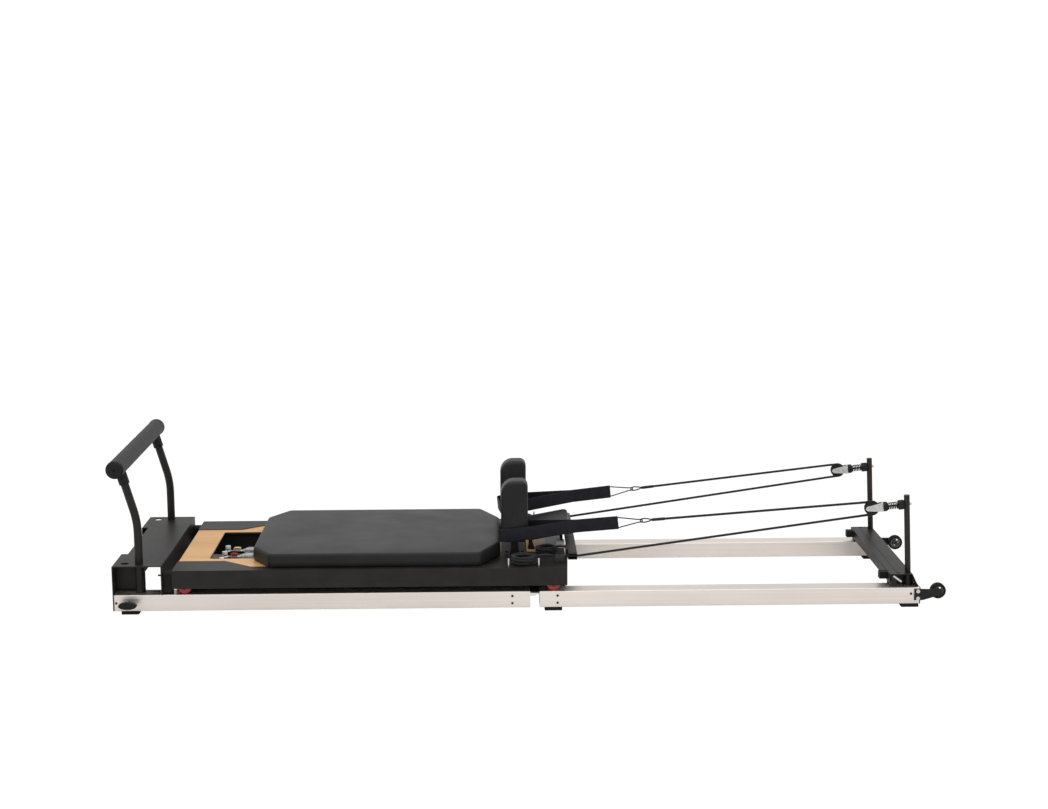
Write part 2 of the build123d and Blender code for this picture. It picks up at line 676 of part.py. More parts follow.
# an arc about the hinge, under the board, that slides down through the guide
low = math.radians(-30 - head_tilt)
with BuildPart() as quadrant:
    with BuildSketch(Plane(head_plane.origin + Vector(0, -54, 0), x_dir=head_dir,
                           z_dir=(0, -1, 0))):
        Circle(quad_r)
        Circle(quad_r - 9, mode=Mode.SUBTRACT)
        with BuildLine():
            Polyline((0, 4), (140, 4), (140, -40), (150 * math.cos(low), 150 * math.sin(low)),
                     (0, 0), close=True)
        make_face(mode=Mode.INTERSECT)
    extrude(amount=8)
save_group([headrest_board.part, quadrant.part], "headrest_board")

with BuildPart() as headrest_pad:
    with BuildSketch(head_plane.offset(4 + board_thick)):
        with Locations((head_len / 2 - 5, 0)):
            Rectangle(head_len, 2 * head_half)
    extrude(amount=cushion_t)
    fillet(headrest_pad.edges().filter_by(lambda e: abs(e.length - cushion_t) < 0.01), 10)
    top_face = headrest_pad.faces().sort_by(Axis((0, 0, 0), head_up))[-1]
    fillet(top_face.edges(), 6)
save(headrest_pad.part, "headrest_pad")

# ---- transport wheels ----
with BuildPart() as wheel_brackets:
    for s in sides:
        y_b = (s * frame_w / 2, s * (frame_w / 2 + 4))
        bx = rail_end - 15
        profile_y([(bx, 22), (bx, 55), (bx + 48, 54), (bx + 72, 55.5), (bx + 81, 47),
                   (bx + 78, 36), (bx + 62, 33), (bx + 24, 22)], min(y_b), max(y_b))
        rod_y(roll_station, s * frame_w / 2, s * (roll_y - 12), roll_z, 10)
        for z in screw_zs:
            rod_y(rail_end - 5.5, s * (frame_w / 2 - 2), s * (frame_w / 2 + 6), z + 4,
                  screw_d + 2 * slip, mode=Mode.SUBTRACT)
save(wheel_brackets.part, "wheel_brackets")


def transport_wheel(side, node):
    with BuildPart() as wheel:
        rod_y(roll_station, side * (roll_y + 10), side * (roll_y - 10), roll_z, roll_d)
        fillet(wheel.edges().filter_by(GeomType.CIRCLE), 4)
        rod_y(roll_station, side * (roll_y + 20), side * (roll_y - 20), roll_z, 10 + 2 * slip,
              mode=Mode.SUBTRACT)
    save(wheel.part, node)


transport_wheel(-1, "transport_wheel_near")
transport_wheel(1, "transport_wheel_far")

# ---- head platform: bent sheet with a sloped outer flange and two feet on the rails ----
with BuildPart() as head_platform:
    hx0, hx1 = head_plat_x0, head_plat_x0 + head_plat_w
    profile_y([(hx0, head_plat_top - 27), (hx0, head_plat_top), (hx1, head_plat_top),
               (rail_end, rail_top), (rail_end - 3.2, rail_top), (hx1 - 1.6, head_plat_top - sheet),
               (hx0 + sheet, head_plat_top - sheet), (hx0 + sheet, head_plat_top - 27)],
              -head_plat_half, head_plat_half)
    fillet(head_platform.edges().filter_by(Axis.Y).group_by(Axis.Z)[-1], 2)
    for s in sides:
        y_f = (s * (rail_in + 6), s * (head_plat_half - 2))
        block(hx0 + 5, hx0 + 21, min(y_f), max(y_f), rail_top, head_plat_top - sheet)
        y_web = (s * (rail_in + 1), s * (rail_in + 4))
        profile_y([(hx0 + 2, rail_top), (hx0 + 2, head_plat_top - 2), (hx1 - 2, head_plat_top - 2),
                   (rail_end - 4, rail_top)], min(y_web), max(y_web))
        riser_rod(s, rail_top + 20, head_plat_top + 10, riser_d + 1, mode=Mode.SUBTRACT)
        rod_z(hx0 + 27, s * (rail_y + 2.25), head_plat_top - 10, head_plat_top + 10, 9, mode=Mode.SUBTRACT)
save(head_platform.part, "head_platform")

with BuildPart() as head_braces:
    for s in sides:
        y_b = (s * (head_plat_half - 2), s * (head_plat_half + 1))
        profile_y([(hx0 + 9, 88), (hx0 + 13, 91), (hx0 + 36, 74), (hx0 + 33, 70)],
                  min(y_b), max(y_b))
save(head_braces.part, "head_braces")

# ---- risers and stand-up pulleys ----
droop = math.radians(6.0)
arm_dir = (-math.cos(droop), 0, -math.sin(droop))
mount_z = pulley_z + (riser_base - (pulley_z - rail_top) * math.tan(math.radians(riser_lean))
                      - pulley_x) * math.tan(droop)
mount_x = riser_base - (mount_z - rail_top) * math.tan(math.radians(riser_lean))


def pulley_rod(side, a, b, d, mode=Mode.ADD):
    # a rod on the pulley's arm, from a to b measured out from the riser's axis
    base = Vector(st(mount_x), side * riser_y, mount_z)
    with BuildSketch(Plane(base + Vector(*arm_dir) * a, x_dir=(0, 1, 0), z_dir=arm_dir)) as ring:
        Circle(d / 2)
    extrude(to_extrude=ring.sketch, amount=b - a, mode=mode)


sheave_at = math.hypot(mount_x - pulley_x, mount_z - pulley_z)
cheek_from = 69.0


def riser_set(side, tag):
    with BuildPart() as riser:
        riser_rod(side, riser_foot + 0.3, riser_top, riser_d)
        pulley_rod(side, -12, 12, 5 + 2 * seat, mode=Mode.SUBTRACT)
    save(riser.part, "riser_" + tag)
    with BuildPart() as shank:
        pulley_rod(side, -15, 26, 5)
        pulley_rod(side, riser_d / 2 + 0.4, 26, 28)
    with BuildPart() as stand_spring:
        pulley_rod(side, 26, 55, 22)
    with BuildPart() as collar:
        pulley_rod(side, 55, cheek_from, 28)
    save_group([shank.part, stand_spring.part, collar.part], "pulley_mount_" + tag)
    centre = Vector(st(pulley_x), side * riser_y, pulley_z)
    base = Vector(st(mount_x), side * riser_y, mount_z)
    with BuildPart() as cheeks:
        for y in (-1, 1):
            y_out = y * (sheave_w / 2 + 2.3)
            y_in = y * (sheave_w / 2 + 0.3)
            with BuildSketch(Plane(base + Vector(*arm_dir) * cheek_from
                                   + Vector(0, min(y_out, y_in), 0), x_dir=arm_dir,
                                   z_dir=(0, 1, 0))):
                with BuildLine():
                    Polyline((0, -13.5), (46, -6.5), (51, 0), (46, 6.5), (0, 13.5), close=True)
                make_face()
            extrude(amount=2)
        with BuildSketch(Plane(base + Vector(*arm_dir) * cheek_from, x_dir=(0, 1, 0),
                               z_dir=arm_dir)):
            Rectangle(sheave_w + 4.6, 26)
        extrude(amount=4)
        rod_y(pulley_x, centre.Y - sheave_w / 2 - 3, centre.Y + sheave_w / 2 + 3, pulley_z, 8)
    save(cheeks.part, "pulley_cheeks_" + tag)
    with BuildPart() as sheave:
        y0 = centre.Y
        groove_r = rope_d / 2 + 0.35
        with BuildSketch(Plane((st(pulley_x), y0, pulley_z), x_dir=(0, 1, 0), z_dir=(1, 0, 0))):
            with BuildLine():
                hub_r, rim_r = 4 + slip, wrap_r + 2.4
                half, gap = sheave_w / 2, groove_r + 0.9
                base_r = wrap_r - rope_d / 2 - 0.1
                Polyline((-half, hub_r), (half, hub_r), (half, rim_r), (gap, rim_r),
                         (groove_r - 1.2, base_r), (-groove_r + 1.2, base_r), (-gap, rim_r),
                         (-half, rim_r), close=True)
            make_face()
        revolve(axis=Axis((st(pulley_x), y0, pulley_z), (0, 1, 0)))
    save(sheave.part, "sheave_" + tag)


riser_set(-1, "near")
riser_set(1, "far")

# ---- straps, links and ropes ----
strap_h = 38.0
strap_t = 3.0
strap_z = {-1: 197.0, 1: 214.0}
strap_len = 304.0
link_at = 367.0
link_len = 60.0
link_wire = 4.5
link_t = 4.4
wrap_top = pulley_z + wrap_r


def top_run(side):
    # from the shoulder rest's middle to the top of the sheave
    start = Vector(st(rest_station), side * rest_y, strap_z[side])
    end = Vector(st(pulley_x), side * riser_y, wrap_top)
    return start, (end - start).normalized()


def strap_plane(side, along, up=0.0):
    start, run = top_run(side)
    level = Vector(run.X, run.Y, 0).normalized()
    normal = run.cross(Vector(-level.Y, level.X, 0)).normalized()
    return Plane(start + run * along + normal * up, x_dir=run, z_dir=normal)


def strap(side, node):
    with BuildPart() as loop:
        with BuildSketch(strap_plane(side, 0, -strap_h / 2)):
            with BuildLine():
                inner = 42.3
                outer = inner + strap_t
                FilletPolyline((-outer, -outer), (outer, -outer), (185, -strap_t - 0.5),
                               (strap_len, -strap_t - 0.5), (strap_len, strap_t + 0.5),
                               (185, strap_t + 0.5), (outer, outer), (-outer, outer),
                               radius=[14, 20, 20, 0.8, 0.8, 20, 20, 14], close=True)
            make_face()
            with BuildLine():
                FilletPolyline((-inner, -inner), (inner, -inner), (172, -0.6), (172, 0.6),
                               (inner, inner), (-inner, inner),
                               radius=[11, 17, 0.3, 0.3, 17, 11], close=True)
            make_face(mode=Mode.SUBTRACT)
        extrude(amount=strap_h)
    save(loop.part, node)


strap(-1, "strap_near")
strap(1, "strap_far")

cord_d = 3.4


def strap_cord(side):
    # a thin cord from the strap's top corner through the link to its bottom corner
    over = link_t / 2 + cord_d / 2 + 0.1
    turn_x = link_at + link_wire + cord_d / 2 + 0.3
    pts = [strap_plane(side, strap_len, 15).origin, strap_plane(side, link_at - 4, over).origin,
           strap_plane(side, turn_x, over).origin, strap_plane(side, turn_x, -over).origin,
           strap_plane(side, link_at - 4, -over).origin, strap_plane(side, strap_len, -15).origin]
    soft = 0.45 * 10.3 / math.tan(math.radians(5.4))
    turns = [soft, 2.2, 2.2, soft]
    with BuildPart() as cord:
        with BuildLine() as route:
            FilletPolyline(*pts, radius=turns)
        with BuildSketch(Plane(pts[0], x_dir=strap_plane(side, 0).y_dir,
                               z_dir=(pts[1] - pts[0]))):
            Circle(cord_d / 2)
        sweep()
    length = sum(e.length for e in route.edges())
    print("strap cord radii", [round(r, 1) for r in turns], "volume",
          round(cord.part.volume, 1), "section x length",
          round(math.pi * cord_d ** 2 / 4 * length, 1))
    return cord.part


save_group([strap_cord(s) for s in sides], "strap_cords")


def snap_link(side):
    tail = strap_plane(side, link_at + link_len - 1)
    with BuildPart() as link:
        with BuildSketch(strap_plane(side, link_at + link_len / 2, -link_t / 2)):
            SlotOverall(link_len, 19)
            SlotOverall(link_len - 2 * link_wire, 19 - 2 * link_wire, mode=Mode.SUBTRACT)
        extrude(amount=link_t)
        with BuildSketch(Plane(tail.origin, x_dir=tail.y_dir, z_dir=tail.x_dir)):
            Circle(5.2)
        extrude(amount=19)
        with BuildSketch(Plane(tail.origin + tail.x_dir * 9, x_dir=tail.y_dir,
                               z_dir=tail.x_dir)):
            Circle(rope_d / 2 + seat)
        extrude(amount=14, mode=Mode.SUBTRACT)
    return link.part


save_group([snap_link(s) for s in sides], "snap_links")


def rope(side, node):
    centre = Vector(st(pulley_x), side * riser_y, pulley_z)
    start = strap_plane(side, link_at + link_len + 8.2).origin
    exit_pt = Vector(st(end_bar_x0 + end_bar_w), side * rope_y, rope_hole_z)
    clamp = Vector(st(1258), side * rope_y, rope_hole_z)

    def tangent(point, sign):
        # where a line from the point touches the circle of the rope's centre line
        dx, dz = point.X - centre.X, point.Z - centre.Z
        dist = math.hypot(dx, dz)
        base = math.atan2(dz, dx)
        off = math.acos(wrap_r / dist)
        ang = base - sign * off
        return ang, Vector(centre.X + wrap_r * math.cos(ang), centre.Y,
                           centre.Z + wrap_r * math.sin(ang))

    a_top, p_top = tangent(start, 1)
    a_low, p_low = tangent(exit_pt, -1)
    if a_top < 0:
        a_top += 2 * math.pi
    if a_low > 0:
        a_low -= 2 * math.pi
    def lead_in(far_end, touch):
        # a point just off the sheave and in its plane, where the run turns towards far_end
        span = Vector(far_end.X - touch.X, 0, far_end.Z - touch.Z)
        return touch + span.normalized() * lead

    def turn_radius(a, corner, b):
        half = (corner - a).get_angle(b - corner) / 2
        short = min((corner - a).length, (b - corner).length)
        return 0.45 * short / math.tan(math.radians(half))

    lead = 26.0
    k_top, k_low = lead_in(start, p_top), lead_in(exit_pt, p_low)
    mid = (a_top + a_low) / 2
    crest = Vector(centre.X + wrap_r * math.cos(mid), centre.Y, centre.Z + wrap_r * math.sin(mid))
    turns = [turn_radius(start, k_top, p_top), turn_radius(p_low, k_low, exit_pt), 60.0]
    with BuildPart() as cord:
        with BuildLine() as route:
            FilletPolyline(start, k_top, p_top, radius=turns[0])
            ThreePointArc(p_top, crest, p_low)
            FilletPolyline(p_low, k_low, exit_pt, clamp, radius=turns[1:])
        with BuildSketch(Plane(start, x_dir=(k_top - start).cross(Vector(0, 0, 1)),
                               z_dir=k_top - start)):
            Circle(rope_d / 2)
        sweep()
    length = sum(e.length for e in route.edges())
    print(node, "radii", wrap_r, [round(r) for r in turns], "volume", round(cord.part.volume),
          "section x length", round(math.pi * rope_d ** 2 / 4 * length))
    save(cord.part, node)


rope(-1, "rope_near")
rope(1, "rope_far")


def rope_coil(x, y, r, z0, h, end):
    # the coiled spare rope's outer shape, and the length that leads to it
    with BuildPart() as coil:
        rod_z(x, y, z0, z0 + h, 2 * r + 20)
        rod_z(x, y, z0 - 1, z0 + h + 1, 2 * r - 20, mode=Mode.SUBTRACT)
        fillet(coil.edges().filter_by(GeomType.CIRCLE), 6)
        a = Vector(st(end[0]), end[1], end[2])
        b = Vector(st(x + r * 0.8), y + math.copysign(r * 0.6, end[1] - y), z0 + h / 2)
        with BuildSketch(Plane(a, x_dir=(b - a).cross(Vector(0, 0, 1)), z_dir=b - a)):
            Circle(rope_d / 2)
        extrude(amount=(b - a).length)
    return coil.part


tail_x = 1256.9
save_group([rope_coil(1168.0, -247.0, 31.0, deck_z + 0.2, 24.0, (tail_x, -rope_y, rope_hole_z)),
            rope_coil(1168.0, 247.0, 31.0, deck_z + 0.2, 24.0, (tail_x, rope_y, rope_hole_z)),
            rope_coil(1236.0, -128.0, 27.0, deck_z + 0.2, 20.0,
                      (end_bar_x0 - 0.1, -140.0, rope_hole_z))], "rope_coils")
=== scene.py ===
import math
import bmesh
import bpy
import numpy as np
from mathutils import Matrix, Vector


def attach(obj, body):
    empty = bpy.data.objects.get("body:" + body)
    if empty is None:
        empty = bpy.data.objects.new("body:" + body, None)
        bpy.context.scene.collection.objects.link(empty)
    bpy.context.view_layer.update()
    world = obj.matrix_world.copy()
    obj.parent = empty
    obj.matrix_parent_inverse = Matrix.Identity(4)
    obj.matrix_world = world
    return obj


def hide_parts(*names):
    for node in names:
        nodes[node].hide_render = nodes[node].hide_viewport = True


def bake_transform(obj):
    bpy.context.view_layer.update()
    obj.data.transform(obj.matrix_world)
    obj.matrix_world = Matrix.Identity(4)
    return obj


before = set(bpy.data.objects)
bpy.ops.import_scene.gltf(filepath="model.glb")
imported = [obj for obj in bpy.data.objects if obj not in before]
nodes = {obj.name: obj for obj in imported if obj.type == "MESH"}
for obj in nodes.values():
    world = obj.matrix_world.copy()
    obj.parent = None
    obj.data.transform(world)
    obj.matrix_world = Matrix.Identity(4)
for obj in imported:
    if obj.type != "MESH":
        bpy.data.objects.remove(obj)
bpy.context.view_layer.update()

mm = 0.001
half = 1188.0  # half the overall length, so a station from the foot end becomes an x
near, far = -1, 1


def st(station):
    return (station - half) * mm


# Materials
def linear(hexColour, alpha=1.0):
    # sRGB to linear: c / 12.92 below 0.04045, else ((c + 0.055) / 1.055) to the power 2.4
    c = np.array([int(hexColour[i:i + 2], 16) for i in (1, 3, 5)]) / 255
    lin = np.where(c <= 0.04045, c / 12.92, ((c + 0.055) / 1.055) ** 2.4)
    return (*[float(v) for v in lin], alpha)


def add(tree, kind, inputs=None, **settings):
    node = tree.nodes.new("ShaderNode" + kind)
    for key, value in settings.items():
        setattr(node, key, value)
    for key, value in (inputs or {}).items():
        if isinstance(value, bpy.types.NodeSocket):
            tree.links.new(value, node.inputs[key])
        else:
            node.inputs[key].default_value = value
    return node


def shader(name, roughness=0.5, metallic=0.0, ior=1.5, **extra):
    # a new material with its shader, tree and object coordinates
    mat = bpy.data.materials.new(name)
    mat.use_nodes = True
    tree = mat.node_tree
    bsdf = tree.nodes["Principled BSDF"]
    bsdf.inputs["Roughness"].default_value = roughness
    bsdf.inputs["Metallic"].default_value = metallic
    if metallic == 0:
        bsdf.inputs["IOR"].default_value = ior
    for key, value in extra.items():
        bsdf.inputs[key.replace("_", " ")].default_value = value
    place = add(tree, "TexCoord")
    return mat, tree, bsdf, place.outputs["Object"]


def ramp(tree, factor, stops):
    node = add(tree, "ValToRGB", {"Fac": factor})
    ends = node.color_ramp.elements
    while len(ends) < len(stops):
        ends.new(0.5)
    for end, (at, colour) in zip(ends, stops):
        end.position = at
        end.color = linear(colour)
    return node.outputs["Color"]


def calc(tree, operation, *values):
    return add(tree, "Math", dict(enumerate(values)), operation=operation).outputs[0]


def remap(tree, value, low, high, toLow=0.0, toHigh=1.0):
    return add(tree, "MapRange", {"Value": value, "From Min": low, "From Max": high,
                                  "To Min": toLow, "To Max": toHigh}).outputs["Result"]


def average(tree, first, second):
    return calc(tree, "MULTIPLY", calc(tree, "ADD", first, second), 0.5)


def noise(tree, place, periodMm, detail=2.0, rough=0.5, stretch=(1, 1, 1)):
    # a noise whose features repeat about every periodMm, drawn out along an axis by stretch
    scaled = add(tree, "Mapping", {"Vector": place,
                                   "Scale": tuple(1000 / periodMm / s for s in stretch)})
    return add(tree, "TexNoise", {"Vector": scaled.outputs["Vector"], "Scale": 1.0,
                                  "Detail": detail, "Roughness": rough}).outputs["Fac"]


def cells(tree, place, perMetre, output="Distance", **settings):
    scaled = add(tree, "Mapping", {"Vector": place, "Scale": (perMetre,) * 3})
    return add(tree, "TexVoronoi", {"Vector": scaled.outputs["Vector"], "Scale": 1.0},
               **settings).outputs[output]


def paint(tree, bsdf, factor, *stops):
    tree.links.new(ramp(tree, factor, stops), bsdf.inputs["Base Color"])


def polish(tree, bsdf, value, low, high):
    # a noise lies mostly between 0.3 and 0.7
    tree.links.new(remap(tree, value, 0.3, 0.7, low, high), bsdf.inputs["Roughness"])


def bump(tree, bsdf, height, depthMm, strength=1.0):
    node = add(tree, "Bump", {"Height": height, "Distance": depthMm * mm, "Strength": strength})
    tree.links.new(node.outputs["Normal"], bsdf.inputs["Normal"])


darkLevel = 0.22  # matt black finishes mirror less than a clear lacquer does


def powderCoat(name, dark, light, roughness=0.5, peelMm=3.2):
    # sprayed and baked polyester powder: an even skin with a soft orange peel
    mat, tree, bsdf, place = shader(name, roughness, Specular_IOR_Level=darkLevel)
    paint(tree, bsdf, noise(tree, place, 60, 3), (0.35, dark), (0.65, light))
    peel = noise(tree, place, peelMm, 2)
    polish(tree, bsdf, peel, roughness - 0.05, roughness + 0.06)
    bump(tree, bsdf, peel, 0.05)
    return mat


def anodised(name, low, high, roughness=0.34):
    # extruded and satin anodised: faint die lines run the length of the rail
    mat, tree, bsdf, place = shader(name, roughness, metallic=1.0)
    lines = noise(tree, place, 1.1, 2, 0.5, (900, 1, 1))
    cloud = noise(tree, place, 90, 2, 0.5, (5, 1, 1))
    paint(tree, bsdf, average(tree, lines, cloud), (0.36, low), (0.64, high))
    polish(tree, bsdf, lines, roughness - 0.03, roughness + 0.04)
    bump(tree, bsdf, lines, 0.003)
    return mat


def zincPlate(name, low, high, roughness=0.3):
    # bright zinc over steel: a cool grey with a slightly mottled shine
    mat, tree, bsdf, place = shader(name, roughness, metallic=1.0)
    cloud = noise(tree, place, 9, 3)
    paint(tree, bsdf, cloud, (0.35, low), (0.7, high))
    polish(tree, bsdf, cloud, roughness - 0.06, roughness + 0.1)
    bump(tree, bsdf, noise(tree, place, 1.4, 2), 0.01)
    return mat


def moulded(name, low, high, roughness=0.45, grainMm=1.6, depthMm=0.03, ior=1.46, **extra):
    # injection moulded plastic with a fine spark-eroded grain
    mat, tree, bsdf, place = shader(name, roughness, ior=ior, **extra)
    paint(tree, bsdf, noise(tree, place, 35, 2), (0.35, low), (0.65, high))
    grain = noise(tree, place, grainMm, 3)
    polish(tree, bsdf, grain, roughness - 0.05, roughness + 0.05)
    bump(tree, bsdf, grain, depthMm)
    return mat


def vinyl(name, low, high, roughness=0.42):
    # embossed PVC leathercloth over foam: small pebbles between shallow creases, a soft sheen
    mat, tree, bsdf, place = shader(name, roughness, Specular_IOR_Level=darkLevel)
    pebble = cells(tree, place, 430, feature="DISTANCE_TO_EDGE")
    cloud = noise(tree, place, 120, 3)
    paint(tree, bsdf, cloud, (0.35, low), (0.65, high))
    polish(tree, bsdf, cloud, roughness - 0.04, roughness + 0.05)
    bump(tree, bsdf, remap(tree, pebble, 0.0, 0.16), 0.05, 0.6)
    return mat


def lacqueredBoard(name, stops, nearBlackZones, roughness=0.38):
    # rotary-cut veneer under clear lacquer: fine straight grain along the deck, pale flecks
    mat, tree, bsdf, place = shader(name, roughness, ior=1.5)
    bend = noise(tree, place, 160, 2, 0.5, (4, 1, 1))
    grain = noise(tree, place, 5.5, 5, 0.62, (26, 1, 1))
    fleck = noise(tree, place, 2.2, 2, 0.5, (7, 1, 1))
    # near black: below one height, past the station "ends", and where the distance from
    # the middle line is over "wide" past the station "sides"
    b = nearBlackZones
    x, y, z = add(tree, "SeparateXYZ", {"Vector": place}).outputs
    sides = calc(tree, "MULTIPLY", calc(tree, "GREATER_THAN", x, b["sides"]),
                 calc(tree, "GREATER_THAN", calc(tree, "ABSOLUTE", y), b["wide"]))
    ends = calc(tree, "MAXIMUM", sides, calc(tree, "GREATER_THAN", x, b["ends"]))
    nearBlackMask = calc(tree, "MAXIMUM", ends, calc(tree, "LESS_THAN", z, b["below"]))
    mix = add(tree, "Mix", {"Factor": nearBlackMask, 6: ramp(tree, average(tree, grain, bend), stops),
                            7: linear("#181716")}, data_type="RGBA")
    tree.links.new(mix.outputs[2], bsdf.inputs["Base Color"])
    polish(tree, bsdf, fleck, roughness - 0.04, roughness + 0.06)
    bump(tree, bsdf, grain, 0.03)
    return mat


def twoByPlace(name, first, second, axis, cutMm, roughness=0.42, metallic=(0.0, 0.0)):
    # one node, two finishes: first where the axis reads under cutMm, second from there on;
    # for axis "Y" the distance from the middle line is read
    mat, tree, bsdf, place = shader(name, roughness)
    value = add(tree, "SeparateXYZ", {"Vector": place}).outputs[axis]
    if axis == "Y":
        value = calc(tree, "ABSOLUTE", value)
    mask = calc(tree, "GREATER_THAN", value, cutMm * mm)
    shade = noise(tree, place, 18, 3)
    tones = [ramp(tree, shade, [(0.35, low), (0.65, high)]) for low, high in (first, second)]
    mix = add(tree, "Mix", {"Factor": mask, 6: tones[0], 7: tones[1]}, data_type="RGBA")
    tree.links.new(mix.outputs[2], bsdf.inputs["Base Color"])
    tree.links.new(remap(tree, mask, 0.0, 1.0, *metallic), bsdf.inputs["Metallic"])
    polish(tree, bsdf, shade, roughness - 0.05, roughness + 0.05)
    bump(tree, bsdf, noise(tree, place, 2.0, 2), 0.02)
    return mat


def stripMap(tree):
    # a strip's own map: how far along and how far across
    uv = add(tree, "UVMap", uv_map="strip")
    return add(tree, "SeparateXYZ", {"Vector": uv.outputs["UV"]}).outputs[:2]


def woven(name, low, high, threadMm=2.4, roughness=0.75, depthMm=0.25):
    # a plain weave: sine across times sine along, one thread each way in threadMm
    mat, tree, bsdf, place = shader(name, roughness, Sheen_Weight=0.12, Sheen_Roughness=0.4,
                                    Specular_IOR_Level=darkLevel)
    rate = 2 * math.pi * 1000 / threadMm
    waves = [calc(tree, "SINE", calc(tree, "MULTIPLY", axis, rate)) for axis in stripMap(tree)]
    level = remap(tree, calc(tree, "MULTIPLY", *waves), -1.0, 1.0)
    fuzz = average(tree, level, noise(tree, place, 14, 3))
    paint(tree, bsdf, fuzz, (0.2, low), (0.8, high))
    bump(tree, bsdf, level, depthMm, 0.8)
    return mat


def braided(name, low, high, strandMm=5.0):
    # a braided sheath: four strands each way cross in two spirals round the rope
    mat, tree, bsdf, _ = shader(name, 0.7, Sheen_Weight=0.08, Sheen_Roughness=0.5,
                                Specular_IOR_Level=darkLevel)
    along, around = stripMap(tree)
    along = calc(tree, "MULTIPLY", along, 2 * math.pi * 1000 / strandMm)
    around = calc(tree, "MULTIPLY", around, 2 * math.pi * 4)
    spirals = [calc(tree, "SINE", calc(tree, way, along, around)) for way in ("ADD", "SUBTRACT")]
    level = remap(tree, calc(tree, "MAXIMUM", *spirals), -1.0, 1.0)
    paint(tree, bsdf, level, (0.25, low), (0.9, high))
    bump(tree, bsdf, level, 0.35, 0.8)
    return mat


def foam(name, low, high):
    # closed-cell foam sleeve: matt, with fine open pores
    mat, tree, bsdf, place = shader(name, 0.78, Sheen_Weight=0.1, Specular_IOR_Level=darkLevel)
    paint(tree, bsdf, noise(tree, place, 28, 4, 0.6), (0.3, low), (0.7, high))
    bump(tree, bsdf, cells(tree, place, 420), 0.12, 0.7)
    return mat


mats = {
    "rail": anodised("SatinAnodisedAluminium", "#dfd6cf", "#eee6df", 0.4),
    "coat": powderCoat("BlackPowderCoatSteel", "#1a1817", "#23201e", 0.44),
    "coatBrown": powderCoat("BrownBlackPowderCoatTube", "#1f1916", "#2b2420", 0.4),
    "plastic": moulded("BlackMouldedNylon", "#131313", "#1b1b1b", 0.42,
                       Specular_IOR_Level=darkLevel),
    "cap": moulded("BlackMouldedEndCap", "#131313", "#1a1a1a", 0.5,
                   Specular_IOR_Level=darkLevel),
    "rubber": moulded("BlackMouldedRubber", "#121110", "#1a1918", 0.7, 2.4, 0.06,
                      Specular_IOR_Level=darkLevel),
    "white": moulded("WhiteMouldedABS", "#d8d6d2", "#e8e6e2", 0.36, 1.4, 0.02, 1.53),
    "grey": moulded("GreyMouldedNylonHub", "#4d4f52", "#5d6063", 0.5),
    "red": moulded("RedCastPolyurethane", "#8f2024", "#a82a2c", 0.38, 2.0, 0.02, 1.5),
    "zinc": zincPlate("BrightZincPlate", "#b8bab9", "#d9dad8"),
    "zincDark": zincPlate("BlackenedSteelLink", "#2b2624", "#403936", 0.45),
    "spring": zincPlate("DrawnSpringSteel", "#e6e7e6", "#f6f6f5", 0.45),
    "vinyl": vinyl("BlackLeathercloth", "#161617", "#1e1e1f"),
    "board": lacqueredBoard("LacqueredBirchPly", [(0.3, "#af7c43"), (0.46, "#c29053"),
                                                 (0.56, "#cf9e60"), (0.72, "#daad71")],
                            {"sides": st(1036), "wide": 0.115, "ends": st(1236),
                             "below": 0.1255}),
    "screws": twoByPlace("ScrewsBlackAndZinc", ("#1c1b1a", "#2a2928"), ("#bcbdbc", "#d6d7d5"),
                         "X", 1097, 0.34, (0.4, 1.0)),
    "guide": twoByPlace("BlackLugsWhiteGuide", ("#141414", "#1d1d1d"), ("#dcdad6", "#eae8e4"),
                        "X", 66, 0.4),
    "fittings": twoByPlace("BlackCleatsZincPosts", ("#161616", "#202020"),
                           ("#c3c4c3", "#dcddda"), "Y", 268, 0.34, (0.0, 1.0)),
    "webbing": woven("BlackPolyesterWebbing", "#0b0b10", "#22222b"),
    "creamTape": woven("CreamPolyesterTape", "#cdbb7c", "#e9dcae", 1.8),
    "redTape": woven("RedPolyesterTape", "#8c1a1c", "#b92f2e", 1.8),
    "rope": braided("BlackBraidedRope", "#0e0e0f", "#262627"),
    "foam": foam("BlackFoamSleeve", "#1c1c1c", "#2a2a2a"),
}
print("stage: materials made", len(mats))

# Carried-over CAD nodes
looks = {
    "rail": ["fold_hinges"],
    "coat": ["foot_platform", "head_platform", "carriage_beams", "cross_members", "end_bar",
             "wheel_brackets", "spring_bar", "shoulder_sockets", "shoulder_post_near",
             "shoulder_post_far", "inner_beams", "footbar_frame", "wheel_axles"],
    "coatBrown": ["riser_near", "riser_far"],
    "plastic": ["hinge_caps", "socket_blocks", "knob_near", "knob_far", "footbar_collars",
                "side_guides", "sheave_near", "sheave_far", "headrest_board", "strap_cords"],
    "screws": ["frame_screws"],
    "guide": ["headrest_mounts"],
    "fittings": ["rope_fittings"],
    "cap": ["footbar_caps"],
    "rubber": ["rubber_feet", "bumpers"],
    "white": ["spring_knobs"],
    "red": ["load_wheel_foot_near", "load_wheel_foot_far", "load_wheel_head_near",
            "load_wheel_head_far"],
    "zinc": ["head_braces", "pulley_cheeks_near", "pulley_cheeks_far"],
    "board": ["deck_board"],
}
edgeMm = {"rail": 0, "coat": 0.8, "coatBrown": 0.5, "plastic": 0.7, "cap": 0.6, "rubber": 1.0,
          "white": 0.6, "red": 0.5, "zinc": 0.3, "board": 0.8, "screws": 0.3, "guide": 0.5,
          "fittings": 0.4}
leftSharp = ("sheave_near", "sheave_far", "strap_cords", "inner_beams")


def softenEdges(obj, widthMm):
    # the corners of bent sheet, extrusions and mouldings are rounded, so they catch the light
    weld = obj.modifiers.new("weld", "WELD")
    weld.merge_threshold = 0.00002
    if widthMm > 0:
        bevel = obj.modifiers.new("edges", "BEVEL")
        bevel.width = widthMm * mm
        bevel.segments = 2
        bevel.limit_method = "ANGLE"
        bevel.angle_limit = math.radians(40)


